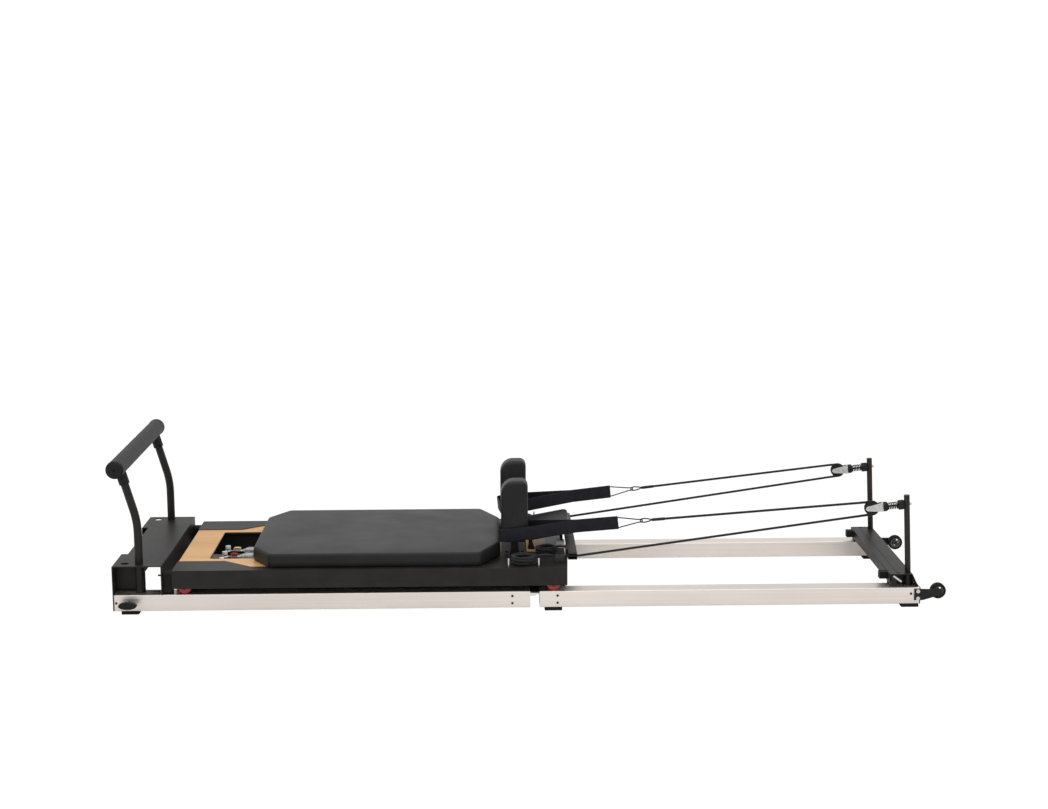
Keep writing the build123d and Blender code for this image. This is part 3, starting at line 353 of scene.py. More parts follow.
for look, names in looks.items():
    for name in names:
        obj = nodes[name]
        obj.data.materials.clear()
        obj.data.materials.append(mats[look])
        softenEdges(obj, 0 if name in leftSharp else edgeMm[look])
print("stage: CAD nodes dressed")


# Mesh builders
def gridMesh(name, pts, closeU=False, closeV=True, caps=(False, False), uv=None, mat=None):
    # rows of points joined into quads; U runs down the rows, V along a row
    pts = np.asarray(pts, float)
    rows, cols = pts.shape[:2]
    r = np.arange(rows if closeU else rows - 1)
    c = np.arange(cols if closeV else cols - 1)
    rr, cc = np.meshgrid(r, c, indexing="ij")
    nr, nc = (rr + 1) % rows, (cc + 1) % cols
    quads = np.stack([rr * cols + cc, rr * cols + nc, nr * cols + nc, nr * cols + cc],
                     -1).reshape(-1, 4)
    faces = quads.tolist()
    if caps[0]:
        faces.append(list(range(cols))[::-1])
    if caps[1]:
        faces.append([(rows - 1) * cols + k for k in range(cols)])
    mesh = bpy.data.meshes.new(name)
    mesh.from_pydata(pts.reshape(-1, 3).tolist(), [], faces)
    mesh.update()
    if uv is not None:
        layer = mesh.uv_layers.new(name="strip")
        flat = np.zeros((len(mesh.loops), 2), np.float32)
        corner = np.zeros(len(mesh.loops), np.int32)
        mesh.loops.foreach_get("vertex_index", corner)
        flat[:] = np.asarray(uv, float).reshape(-1, 2)[corner]
        layer.data.foreach_set("uv", flat.ravel())
    mesh.polygons.foreach_set("use_smooth", np.ones(len(mesh.polygons), bool))
    fixNormals(mesh)
    obj = bpy.data.objects.new(name, mesh)
    bpy.context.collection.objects.link(obj)
    if mat:
        mesh.materials.append(mats[mat])
    return obj


def fixNormals(mesh):
    bm = bmesh.new()
    bm.from_mesh(mesh)
    bmesh.ops.recalc_face_normals(bm, faces=bm.faces)
    bm.to_mesh(mesh)
    bm.free()
    mesh.update()


def joinMeshes(name, objs):
    # several meshes of one piece become one object
    with bpy.context.temp_override(active_object=objs[0], selected_editable_objects=objs):
        bpy.ops.object.join()
    objs[0].name = name
    objs[0].data.name = name
    return objs[0]


def sharpen(obj, degrees=35):
    obj.data.set_sharp_from_angle(angle=math.radians(degrees))


def frames(path, side):
    # along each point of a path: tangent t, side s made square to it, and up = t x s
    t = np.gradient(path, axis=0)
    t /= np.linalg.norm(t, axis=1, keepdims=True)
    s = np.broadcast_to(np.asarray(side, float), t.shape).copy()
    s -= t * (s * t).sum(1, keepdims=True)
    s /= np.linalg.norm(s, axis=1, keepdims=True)
    return t, s, np.cross(t, s)


def lengths(path):
    return np.concatenate([[0], np.cumsum(np.linalg.norm(np.diff(path, axis=0), axis=1))])


def carry(name, path, side, section, mat, closed=False, caps=True):
    # a closed outline (side, up) carried along a path; its map is metres along and round
    path = np.asarray(path, float)
    if closed:
        ring = np.vstack([path[-1], path, path[0]])
        s, u = (a[1:-1] for a in frames(ring, side)[1:])
    else:
        s, u = frames(path, side)[1:]
    sec = np.asarray(section, float)
    if sec.ndim == 2:
        sec = np.broadcast_to(sec, (len(path),) + sec.shape)
    pts = path[:, None] + s[:, None] * sec[..., :1] + u[:, None] * sec[..., 1:2]
    along = lengths(path)
    edge = np.concatenate([[0], np.cumsum(np.linalg.norm(np.diff(sec[0], axis=0), axis=1))])
    uv = np.stack(np.broadcast_arrays(along[:, None], edge[None]), -1)
    return gridMesh(name, pts, closeU=closed, caps=(caps and not closed,) * 2, uv=uv, mat=mat)


def circle(r, n=12):
    a = np.arange(n) * 2 * math.pi / n
    return np.stack([r * np.cos(a), r * np.sin(a)], -1)


def ropeTube(name, path, r, mat, n=12, side=(0, 0, 1)):
    # a round tube on a path; the map's second number is the share of a turn round it
    path = np.asarray(path, float)
    s, u = frames(path, side)[1:]
    ring = circle(r, n)
    pts = path[:, None] + s[:, None] * ring[None, :, :1] + u[:, None] * ring[None, :, 1:]
    share = np.abs(np.arange(n) / n * 2 - 1)
    uv = np.stack(np.broadcast_arrays(lengths(path)[:, None], share[None]), -1)
    return gridMesh(name, pts, caps=(True, True), uv=uv, mat=mat)


def lathe(name, profile, centre, axis, n, mat, closeU=False):
    # a profile of (distance along the axis, radius) turned round the axis
    axis = np.asarray(axis, float) / np.linalg.norm(axis)
    other = np.array([0, 0, 1.0]) if abs(axis[2]) < 0.9 else np.array([1.0, 0, 0])
    e1 = np.cross(other, axis)
    e1 /= np.linalg.norm(e1)
    e2 = np.cross(axis, e1)
    a = np.arange(n) * 2 * math.pi / n
    prof = np.asarray(profile, float)
    pts = (np.asarray(centre, float) + prof[:, None, :1] * axis
           + prof[:, None, 1:2] * (np.cos(a)[None, :, None] * e1 + np.sin(a)[None, :, None] * e2))
    return gridMesh(name, pts, closeU=closeU, caps=(not closeU, not closeU), mat=mat)


def roundedBox(w, h, r, n=6):
    # outline of a rectangle with rounded corners, as (side, up) points
    out = []
    for cx, cy, a0 in ((w / 2 - r, h / 2 - r, 0), (-w / 2 + r, h / 2 - r, 90),
                       (-w / 2 + r, -h / 2 + r, 180), (w / 2 - r, -h / 2 + r, 270)):
        a = np.radians(a0 + np.linspace(0, 90, n))
        out.append(np.stack([cx + r * np.cos(a), cy + r * np.sin(a)], -1))
    return np.concatenate(out)


def nurbsPath(points, resolution=24):
    # the smooth line of a cord through its given control points
    curve = bpy.data.curves.new("route", "CURVE")
    curve.dimensions = "3D"
    spline = curve.splines.new("NURBS")
    spline.points.add(len(points) - 1)
    for p, co in zip(spline.points, points):
        p.co = (*co, 1)
    spline.order_u = 3
    spline.use_endpoint_u = True
    spline.resolution_u = resolution
    obj = bpy.data.objects.new("route", curve)
    mesh = bpy.data.meshes.new_from_object(obj)
    path = np.array([v.co for v in mesh.vertices], float)
    bpy.data.objects.remove(obj)
    bpy.data.meshes.remove(mesh)
    keep = np.concatenate([[True], np.linalg.norm(np.diff(path, axis=0), axis=1) > 1e-6])
    return path[keep]


# Rails
tube = {"w": 0.0575, "h": 0.047, "wall": 0.003, "cornerR": 0.0022, "y": 0.26875, "z": 0.0345,
        "foot": (st(3), st(1184)), "head": (st(1211), st(2297))}


def railTube(name, x0, x1, side):
    # one rounded box section inside another, joined at both ends; the ends are cut square
    p = tube
    outer = roundedBox(p["w"], p["h"], p["cornerR"], 5)
    inner = roundedBox(p["w"] - 2 * p["wall"], p["h"] - 2 * p["wall"], 0.001, 5)
    rows = [(x, outer) for x in np.linspace(x0, x1, 9)] + [(x1, inner), (x0, inner)]
    pts = np.array([np.column_stack([np.full(len(o), x), side * p["y"] + o[:, 0],
                                     p["z"] + o[:, 1]]) for x, o in rows])
    rail = gridMesh(name, pts, closeU=True, mat="rail")
    sharpen(rail, 40)
    flat = rail.modifiers.new("flatFaces", "WEIGHTED_NORMAL")
    flat.keep_sharp = True
    return rail


def dress(obj, body, *replaced, slot=None, fill=None):
    if replaced:
        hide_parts(*replaced)
    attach(obj, body)
    return obj


for part in ("foot", "head"):
    for side, tag in ((near, "near"), (far, "far")):
        rail = railTube("rail%s_%s" % (part.capitalize(), tag), *tube[part], side)
        dress(rail, "frame", *(["rails_" + part] if side == near else []), slot="aluminium")
print("stage: rails")

# Bed cushion
bed = {"x0": st(385), "x1": st(1101), "halfWide": 0.278, "cornerFoot": 0.183,
       "cornerHead": 0.157, "chamfer": 0.057, "cornerR": 0.020, "z0": 0.1283, "z1": 0.1700,
       "crown": 0.0022, "edgeR": 0.008, "bulge": 0.0012, "seamZ": 0.1500, "inset": 0.0014,
       "footR": 0.003}


def roundCorners(corners, radius, perArc=8, perSide=10):
    # outline of straight sides and tangent arcs through the given corners
    c = np.asarray(corners, float)
    prev, nxt = np.roll(c, 1, 0), np.roll(c, -1, 0)
    a = (prev - c) / np.linalg.norm(prev - c, axis=1, keepdims=True)
    b = (nxt - c) / np.linalg.norm(nxt - c, axis=1, keepdims=True)
    turn = np.arccos(np.clip((a * b).sum(1), -1, 1))
    back = radius / np.tan(turn / 2)
    start, end = c + a * back[:, None], c + b * back[:, None]
    mid = c + (a + b) / np.linalg.norm(a + b, axis=1, keepdims=True) * (radius
                                                                        / np.sin(turn / 2))[:, None]
    out = []
    for k in range(len(c)):
        a0 = math.atan2(*(start[k] - mid[k])[::-1])
        a1 = math.atan2(*(end[k] - mid[k])[::-1])
        if a1 - a0 > math.pi:
            a1 -= 2 * math.pi
        if a1 - a0 < -math.pi:
            a1 += 2 * math.pi
        angle = np.linspace(a0, a1, perArc)
        out.append(mid[k] + radius * np.stack([np.cos(angle), np.sin(angle)], -1))
        t = np.linspace(0, 1, perSide + 2)[1:-1, None]
        out.append(end[k] * (1 - t) + start[(k + 1) % len(c)] * t)
    return np.concatenate(out)


def bedPad():
    # rings from the underside's middle, out round the edge and back to the top's middle:
    # inset gives how far in from the outline, z its height; the sides bulge as sin(pi s)
    b = bed
    outline = roundCorners([(b["x0"], -b["cornerFoot"]), (b["x0"] + b["chamfer"], -b["halfWide"]),
                            (b["x1"] - b["chamfer"], -b["halfWide"]), (b["x1"], -b["cornerHead"]),
                            (b["x1"], b["cornerHead"]), (b["x1"] - b["chamfer"], b["halfWide"]),
                            (b["x0"] + b["chamfer"], b["halfWide"]), (b["x0"], b["cornerFoot"])],
                           b["cornerR"], 8, 14)
    centre = np.array([(b["x0"] + b["x1"]) / 2, 0])
    inward = np.roll(outline, 1, 0) - np.roll(outline, -1, 0)
    inward = np.stack([inward[:, 1], -inward[:, 0]], -1)
    inward /= np.linalg.norm(inward, axis=1, keepdims=True)
    inward *= np.sign(((centre - outline) * inward).sum(1, keepdims=True))
    rings = []

    def ring(inset, z):
        xy = outline + inward * inset
        rings.append(np.column_stack([xy, np.full(len(xy), z)]))

    for share in (0.0, 0.3, 0.6, 0.85):
        xy = centre + (outline + inward * 0.012 - centre) * share
        rings.append(np.column_stack([xy, np.full(len(xy), b["z0"])]))
    ring(0.009, b["z0"])
    for a in np.radians([0, 30, 60, 90]):
        ring(b["inset"] + b["footR"] * (1 - math.sin(a)),
             b["z0"] + b["footR"] * (1 - math.cos(a)))
    side = np.linspace(0, 1, 9)[1:]
    r = b["edgeR"]
    low, high = b["z0"] + b["footR"], b["z1"] - b["crown"] - r
    for s in side:
        z = low + (high - low) * s
        groove = 0.0016 * math.exp(-((z - b["seamZ"]) / 0.0011) ** 2)
        ring(b["inset"] - b["bulge"] * math.sin(math.pi * s) + groove, z)
    for a in np.radians(np.linspace(12, 90, 8)):
        ring(b["inset"] + r * (1 - math.cos(a)), high + r * math.sin(a))
    rim = outline + inward * (b["inset"] + r)
    for share in np.linspace(0.97, 0.0, 18):
        xy = centre + (rim - centre) * share
        rise = b["crown"] * (1 - share ** 6)
        wave = 0.0005 * np.sin(xy[:, 0] * 23) * np.cos(xy[:, 1] * 17) * (1 - share ** 4)
        rings.append(np.column_stack([xy, b["z1"] - b["crown"] + rise + wave]))
    return gridMesh("bedPad", np.array(rings), mat="vinyl")


def stitchRow(name, path, up, mat, stitchMm=4.0, gapMm=1.6, r=0.0004):
    # short raised threads laid end to end along a seam
    path = np.asarray(path, float)
    along = lengths(path)
    step = (stitchMm + gapMm) * mm
    count = int(along[-1] / step)
    at = (np.arange(count) + 0.5) * step
    share = np.linspace(-0.5, 0.5, 5)
    where = at[:, None] + share[None] * stitchMm * mm
    pts = np.stack([np.interp(where, along, path[:, k]) for k in range(3)], -1)
    up = np.asarray(up, float)
    lift = (1 - (share * 2) ** 2) * r * 1.2
    pts = pts + up * lift[None, :, None]
    t = pts[:, -1] - pts[:, 0]
    t /= np.linalg.norm(t, axis=1, keepdims=True)
    s = np.cross(t, up)
    s /= np.linalg.norm(s, axis=1, keepdims=True)
    a = np.arange(5) * 2 * math.pi / 5
    ring = (s[:, None, None] * np.cos(a)[None, None, :, None]
            + up * np.sin(a)[None, None, :, None]) * r
    taper = np.array([0.35, 0.9, 1, 0.9, 0.35])
    verts = pts[:, :, None] + ring * taper[None, :, None, None]
    n, rows, cols = verts.shape[:3]
    base = (np.arange(n) * rows * cols)[:, None, None]
    rr, cc = np.meshgrid(np.arange(rows - 1), np.arange(cols), indexing="ij")
    quad = np.stack([rr * cols + cc, rr * cols + (cc + 1) % cols,
                     (rr + 1) * cols + (cc + 1) % cols, (rr + 1) * cols + cc], -1).reshape(-1, 4)
    faces = (base + quad[None]).reshape(-1, 4).tolist()
    for end in (np.arange(cols)[::-1], (rows - 1) * cols + np.arange(cols)):
        faces += (np.arange(n)[:, None] * rows * cols + end[None]).tolist()
    mesh = bpy.data.meshes.new(name)
    mesh.from_pydata(verts.reshape(-1, 3).tolist(), [], faces)
    mesh.polygons.foreach_set("use_smooth", np.ones(len(mesh.polygons), bool))
    fixNormals(mesh)
    obj = bpy.data.objects.new(name, mesh)
    bpy.context.collection.objects.link(obj)
    mesh.materials.append(mats[mat])
    return obj


dress(bedPad(), "carriage", "main_pad", slot="vinyl", fill=1.0)
print("stage: bed cushion")

# Shoulder rests
rest = {"x": st(1142), "y": 0.144, "long": 0.074, "wide": 0.075, "z0": 0.1750, "z1": 0.3490,
        "footR": 0.036, "headR": 0.017, "edgeR": 0.010, "belly": 0.0022, "seamR": 0.0011}


def restPad(side, name):
    # a side outline of the rest carried across its width; each step inset by a rounded edge,
    # the two faces crowned by (1 - share to the power 4)
    p = rest
    x0, x1 = p["x"] - p["long"] / 2, p["x"] + p["long"] / 2
    outline = []

    def arc(cx, cz, r, a0, a1, n):
        a = np.radians(np.linspace(a0, a1, n))
        outline.append(np.stack([cx + r * np.cos(a), cz + r * np.sin(a)], -1))

    arc(x1 - p["headR"], p["z1"] - p["headR"], p["headR"], 0, 90, 10)
    arc(x0 + p["footR"], p["z1"] - p["footR"], p["footR"], 90, 180, 14)
    z = np.linspace(p["z1"] - p["footR"] - 0.008, p["z0"] + 0.014, 14)
    outline.append(np.stack([np.full(14, x0), z], -1))
    arc(x0 + 0.006, p["z0"] + 0.006, 0.006, 180, 270, 5)
    x = np.linspace(x0 + 0.012, x1 - 0.012, 8)
    outline.append(np.stack([x, np.full(8, p["z0"])], -1))
    arc(x1 - 0.006, p["z0"] + 0.006, 0.006, 270, 360, 5)
    z = np.linspace(p["z0"] + 0.014, p["z1"] - p["headR"] - 0.006, 16)
    outline.append(np.stack([np.full(16, x1), z], -1))
    ring = np.concatenate(outline)
    mid = np.array([p["x"], (p["z0"] + p["z1"]) / 2 + 0.01])
    tangent = np.roll(ring, -1, 0) - np.roll(ring, 1, 0)
    inward = np.stack([-tangent[:, 1], tangent[:, 0]], -1)
    inward /= np.linalg.norm(inward, axis=1, keepdims=True)
    inward *= np.sign(((mid - ring) * inward).sum(1, keepdims=True))
    w, e = p["wide"] / 2, p["edgeR"]
    free = np.clip((ring[:, 1] - p["z0"]) / 0.03, 0, 1)  # the foot of the pad stays flat
    steps = []
    for share in np.linspace(0, 0.94, 8):
        steps.append((None, share, w + 0.0006 - 0.0035 * share ** 4))
    for a in np.radians(np.linspace(90, 0, 7)):
        steps.append((e * (1 - math.cos(a)), None, w - e + e * math.sin(a) - 0.0028))
    for y in np.linspace(w - e - 0.004, 0, 9):
        steps.append((0.0, None, y))
    half = []
    for inset, share, y in steps:
        if inset is None:
            edge = ring + inward * e
            xz = mid + (edge - mid) * share
            bulge = 0.0
        else:
            xz = ring + inward * inset
            bulge = p["belly"] * (1 - (y / w) ** 4) * free
            seam = p["seamR"] * math.exp(-((abs(y) - (w - e - 0.002)) / 0.0013) ** 2)
            xz = xz - inward * (np.asarray(bulge) - seam)[:, None]
        half.append((xz, y))
    rows = [(xz, -y) for xz, y in half] + [(xz, y) for xz, y in half[-2::-1]]
    pts = np.array([np.stack([xz[:, 0], np.full(len(xz), side * p["y"] + y), xz[:, 1]], -1)
                    for xz, y in rows])
    return gridMesh(name, pts, mat="vinyl")


for side, tag in ((near, "near"), (far, "far")):
    dress(restPad(side, "shoulderRestPad_" + tag), "shoulder_rest_" + tag, "shoulder_pad_" + tag,
          slot="vinyl", fill=0.9)
print("stage: shoulder rests")

# Headrest cushion
head = {"pin": (st(1190), 0.0, 0.1523), "tilt": 10.4, "lift": 0.0123, "thick": 0.0245,
        "long": 0.128, "wide": 0.200, "cornerR": 0.016, "crown": 0.003}


def headrestPad():
    # as the bed cushion, in the tilted board's own plane
    h = head
    t = math.radians(h["tilt"])
    ex = np.array([math.cos(t), 0, math.sin(t)])
    ez = np.array([-math.sin(t), 0, math.cos(t)])
    base = np.array(h["pin"]) + ex * (h["long"] / 2 - 0.005)
    a, b = h["long"] / 2, h["wide"] / 2
    outline = roundCorners([(-a, -b), (a, -b), (a, b), (-a, b)], h["cornerR"], 8, 12)
    rings = []

    def ring(scaleTo, z, inset=0.0):
        xy = outline * scaleTo
        grow = np.linalg.norm(outline, axis=1, keepdims=True)
        rings.append(np.column_stack([xy * (1 - inset / grow), np.full(len(xy), z)]))

    z0, z1 = h["lift"], h["lift"] + h["thick"]
    for s in (0.0, 0.5, 0.9):
        ring(s, z0)
    for k in np.radians(np.linspace(0, 90, 5)):
        ring(1, z0 + 0.005 * (1 - math.cos(k)), 0.0022 + 0.005 * (1 - math.sin(k)))
    for s in np.linspace(0.12, 1, 8):
        z = z0 + 0.005 + (z1 - z0 - 0.005 - 0.010) * s
        seam = 0.0014 * math.exp(-((z - z0 - 0.010) / 0.0011) ** 2)
        ring(1, z, 0.0022 - 0.002 * math.sin(math.pi * s) + seam)
    for k in np.radians(np.linspace(15, 90, 6)):
        ring(1, z1 - 0.010 + 0.008 * math.sin(k), 0.0022 + 0.009 * (1 - math.cos(k)))
    rim = 1 - 0.0112 / np.linalg.norm(outline, axis=1, keepdims=True)
    for s in np.linspace(0.95, 0, 12):
        xy = outline * rim * s
        rings.append(np.column_stack([xy, np.full(len(xy), z1 - 0.002 + 0.002 * (1 - s ** 4))]))
    flat = np.array(rings)
    pts = base + flat[..., :1] * ex + flat[..., 1:2] * np.array([0, 1.0, 0]) + flat[..., 2:] * ez
    return gridMesh("headrestPad", pts, mat="vinyl")


dress(headrestPad(), "headrest", "headrest_pad", slot="vinyl", fill=0.8)
print("stage: headrest")

# Foot bar
bar = {"x": st(72.5 - 160.5 * math.tan(math.radians(16))), "z": 0.4265, "half": 0.3205,
       "r": 0.0255}


def gripSleeve():
    # a sleeve with softly swollen ends: r grows by 0.3 mm near each end, edges rounded
    p = bar
    y = np.concatenate([[-p["half"]], -p["half"] + 0.003 * (1 - np.cos(np.radians([30, 60, 90]))),
                        np.linspace(-p["half"] + 0.01, p["half"] - 0.01, 60),
                        p["half"] - 0.003 * (1 - np.cos(np.radians([90, 60, 30]))), [p["half"]]])
    edge = np.clip((p["half"] - np.abs(y)) / 0.003, 0, 1)
    r = p["r"] - 0.0008 - 0.0022 * (1 - np.sqrt(1 - (1 - edge) ** 2))
    r += 0.0003 * np.exp(-((p["half"] - np.abs(y)) / 0.02) ** 2) + 0.00012 * np.sin(y * 61)
    return lathe("gripSleeve", np.stack([y, r], -1), (p["x"], 0, p["z"]), (0, 1, 0), 48, "foam")


dress(gripSleeve(), "footbar", "footbar_grip", slot="foam", fill=1.0)
print("stage: foot bar")

# Springs
coil = {"from": st(271), "to": st(1226), "z": 0.082, "ys": (-0.105, -0.035, 0.035, 0.105),
        "r": 0.0098, "wire": 0.0012, "pitch": 0.0034}


def tensionSpring(y, name):
    # helix: radius r tapers to 4 mm in the coned ends, then a straight shank to a loop
    p = coil
    x0, x1 = p["from"] + 0.046, p["to"] - 0.046
    turns = (x1 - x0) / p["pitch"]
    n = int(turns * 9)
    s = np.linspace(0, 1, n)
    x = x0 + (x1 - x0) * s
    inEnd = np.minimum(x - x0, x1 - x) / 0.016
    r = 0.0035 + (p["r"] - 0.0035) * np.clip(inEnd, 0, 1)
    a = s * turns * 2 * math.pi
    path = np.stack([x, y + r * np.cos(a), p["z"] + r * np.sin(a)], -1)
    radial = np.stack([np.zeros(n), np.cos(a), np.sin(a)], -1)
    body = ropeTube(name, path, p["wire"], "spring", 6, radial)
    parts = [body]
    for x0, x1 in ((p["from"] + 0.010, x0 + 0.004), (x1 - 0.004, p["to"] - 0.010)):
        parts.append(ropeTube("shank", np.stack([np.linspace(x0, x1, 4), np.full(4, y),
                                                 np.full(4, p["z"])], -1), 0.0021, "spring", 10))
    for xc in (p["from"], p["to"]):
        a = np.linspace(0, 2 * math.pi, 33)[:-1]
        loop = np.stack([xc + 0.0085 * np.cos(a), y + 0.0085 * np.sin(a), np.full(32, p["z"])], -1)
        parts.append(carry("eye", loop, (0, 0, 1), circle(0.0022, 8), "spring", closed=True))
    return joinMeshes(name, parts)


for k, y in enumerate(coil["ys"]):
    spring = tensionSpring(y, "tensionSpring_%d" % (k + 1))
    if k == 0:
        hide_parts("springs")
    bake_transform(spring)

tape = {"x": st(288), "long": 0.022, "z": 0.0846, "high": 0.0074, "wide": 0.014, "t": 0.0011}
for k, y in enumerate(coil["ys"]):
    # a pull loop of tape: a flattened ring standing on the spring's shank
    a = np.linspace(0, 2 * math.pi, 49)[:-1]
    squared = np.stack([np.sign(np.cos(a)) * np.abs(np.cos(a)) ** 0.6,
                        np.sign(np.sin(a)) * np.abs(np.sin(a)) ** 0.7], -1)
    path = np.stack([tape["x"] + tape["long"] / 2 + squared[:, 0] * (tape["long"] / 2 - 0.0006),
                     np.full(48, y),
                     tape["z"] + tape["high"] / 2 + squared[:, 1] * (tape["high"] / 2 - 0.0006)],
                    -1)
    loop = carry("pullTape_%d" % (k + 1), path, (0, 1, 0), roundedBox(tape["wide"], tape["t"],
                                                                      0.0004, 3),
                 "redTape" if k == 2 else "creamTape", closed=True)
    dress(loop, "frame", *(["spring_tabs"] if k == 0 else []), slot="webbing")
print("stage: springs")

# Pulleys, ropes and straps
lean = math.radians(2.6)
droop = math.radians(6.0)
pulley = {"x": st(2161), "y": 0.260, "z": 0.284, "wrapR": 0.0185, "ropeR": 0.0035}
armDir = np.array([-math.cos(droop), 0, -math.sin(droop)])
mountZ = 284.0 + (2272.0 - 226.0 * math.tan(lean) - 2161.0) * math.tan(droop)
mountX = 2272.0 - (mountZ - 58.0) * math.tan(lean)


def pulleyMount(side, tag):
    base = np.array([st(mountX), side * pulley["y"], mountZ * mm])
    body = "riser_" + tag

    def turned(name, profile, mat, n=28, closeU=False):
        return lathe(name, np.array(profile) * mm, base, armDir, n, mat, closeU)

    block = turned("pulleyBase_" + tag, [(8.6, 9), (8.6, 12.4), (10, 13.8), (22, 14), (24.5, 13.4),
                                         (26, 11), (26, 6)], "plastic")
    dress(block, body, "pulley_mount_" + tag, slot="plastic_black")
    collar = turned("pulleyCollar_" + tag, [(55, 6), (55, 10.5), (56.5, 12.8), (60, 13.8),
                                            (66.5, 13.8), (68.2, 13), (69, 11.5), (69, 6)],
                    "plastic")
    dress(collar, body, slot="plastic_black")
    bolt = joinMeshes("pulleyBolt_" + tag, [
        turned("tip", [(-15, 1.6), (-14.4, 2.4), (8.6, 2.5)], "zinc", 16),
        turned("nut", [(-11.6, 2.5), (-11.6, 4.6), (-8.9, 4.6), (-8.9, 2.5)], "zinc", 6),
        turned("core", [(26, 2.2), (26, 2.6), (55, 2.6), (55, 2.2)], "plastic", 16)])
    sharpen(bolt)
    dress(bolt, body, slot="steel_bright")
    turns, n = 5.5, 150
    s = np.linspace(0, 1, n)
    a = s * turns * 2 * math.pi
    e2 = np.cross(armDir, [0, 1.0, 0])
    radial = np.cos(a)[:, None] * np.array([0, 1.0, 0]) + np.sin(a)[:, None] * e2
    path = base + armDir * ((27.2 + 26.6 * s) * mm)[:, None] + radial * 0.0094
    helix = ropeTube("pulleySpring_" + tag, path, 0.0013, "plastic", 8, radial)
    dress(helix, body, slot="steel_bright")


for side, tag in ((near, "near"), (far, "far")):
    pulleyMount(side, tag)

strapZ = {near: 0.197, far: 0.214}


def runFrame(side):
    # the strap's line from the rest to the top of the sheave, and its level square-on normal
    start = np.array([rest["x"], side * rest["y"], strapZ[side]])
    end = np.array([pulley["x"], side * pulley["y"], pulley["z"] + pulley["wrapR"]])
    run = (end - start) / np.linalg.norm(end - start)
    level = np.array([-run[1], run[0], 0]) / math.hypot(run[0], run[1])
    return start, run, level, np.cross(run, level)


strap = {"wide": 0.038, "t": 0.0028, "inner": 0.0423, "mouth": 0.182, "long": 0.304}


def loopOutline(p):
    # round the shoulder rest, in to the mouth, then two layers side by side to the end
    s = p["inner"] + p["t"] / 2
    pts = [(-s, -s), (s, -s), (p["mouth"], -p["t"] * 0.5 - 0.0004),
           (p["mouth"] + 0.05, -p["t"] * 0.5 - 0.0005),
           (p["long"] - 0.0015, -p["t"] * 0.5 - 0.0005),
           (p["long"] - 0.0015, p["t"] * 0.5 + 0.0005), (p["mouth"] + 0.05, p["t"] * 0.5 + 0.0005),
           (p["mouth"], p["t"] * 0.5 + 0.0004), (s, s), (-s, s)]
    radii = [0.012, 0.018, 0.018, 0.2, 0.0013, 0.0013, 0.2, 0.018, 0.018, 0.012]
    return smoothCorners(pts, radii)


def smoothCorners(corners, radii):
    # straight sides and tangent arcs, a radius for each corner, side points 6 mm apart
    c = np.asarray(corners, float)
    out = []
    n = len(c)
    ends = []
    for k in range(n):
        a, b = c[k - 1] - c[k], c[(k + 1) % n] - c[k]
        a, b = a / np.linalg.norm(a), b / np.linalg.norm(b)
        turn = math.acos(max(-1, min(1, float(a @ b))))
        if turn > math.pi - 0.02:
            ends.append((c[k], c[k], np.array([c[k]])))
            continue
        back = radii[k] / math.tan(turn / 2)
        mid = c[k] + (a + b) / np.linalg.norm(a + b) * radii[k] / math.sin(turn / 2)
        p, q = c[k] + a * back, c[k] + b * back
        a0, a1 = math.atan2(*(p - mid)[::-1]), math.atan2(*(q - mid)[::-1])
        a1 += 2 * math.pi * round((a0 - a1) / (2 * math.pi))
        angle = np.linspace(a0, a1, 8)
        ends.append((p, q, mid + radii[k] * np.stack([np.cos(angle), np.sin(angle)], -1)))
    for k in range(n):
        out.append(ends[k][2])
        q, p = ends[k][1], ends[(k + 1) % n][0]
        steps = max(2, int(np.linalg.norm(p - q) / 0.006))
        t = np.linspace(0, 1, steps + 1)[1:-1, None]
        out.append(q * (1 - t) + p * t)
    return np.concatenate(out)


def handStrap(side, tag):
    start, run, level, up = runFrame(side)
    p = strap
    outline = loopOutline(p)
    line = start + outline[:, :1] * run + outline[:, 1:] * level
    section = roundedBox(p["wide"], p["t"], p["t"] * 0.42, 4)
    band = carry("loopStrap_" + tag, line, up, section, "webbing", closed=True)
    dress(band, "carriage", "strap_" + tag, slot="webbing")
    rows = []
    for layer in (-1, 1):
        for edge in (-1, 1):
            x = np.linspace(p["mouth"] + 0.012, p["long"] - 0.008, 60)
            line = (start + x[:, None] * run + layer * (p["t"] + 0.0005) * level
                    + edge * (p["wide"] / 2 - 0.003) * up)
            rows.append(stitchRow("row", line, layer * level, "plastic", 5, 2, 0.00035))
        for x in (p["mouth"] + 0.012, p["long"] - 0.008, p["long"] - 0.03):
            z = np.linspace(-p["wide"] / 2 + 0.003, p["wide"] / 2 - 0.003, 20)
            line = (start + x * run + layer * (p["t"] + 0.0005) * level + z[:, None] * up)
            rows.append(stitchRow("row", line, layer * level, "plastic", 5, 2, 0.00035))
    dress(joinMeshes("strapStitching_" + tag, rows), "carriage", slot="webbing")


link = {"from": 0.3665, "long": 0.036, "high": 0.0140, "wire": 0.0019, "barrel": 0.0044,
        "barrelLong": 0.041}


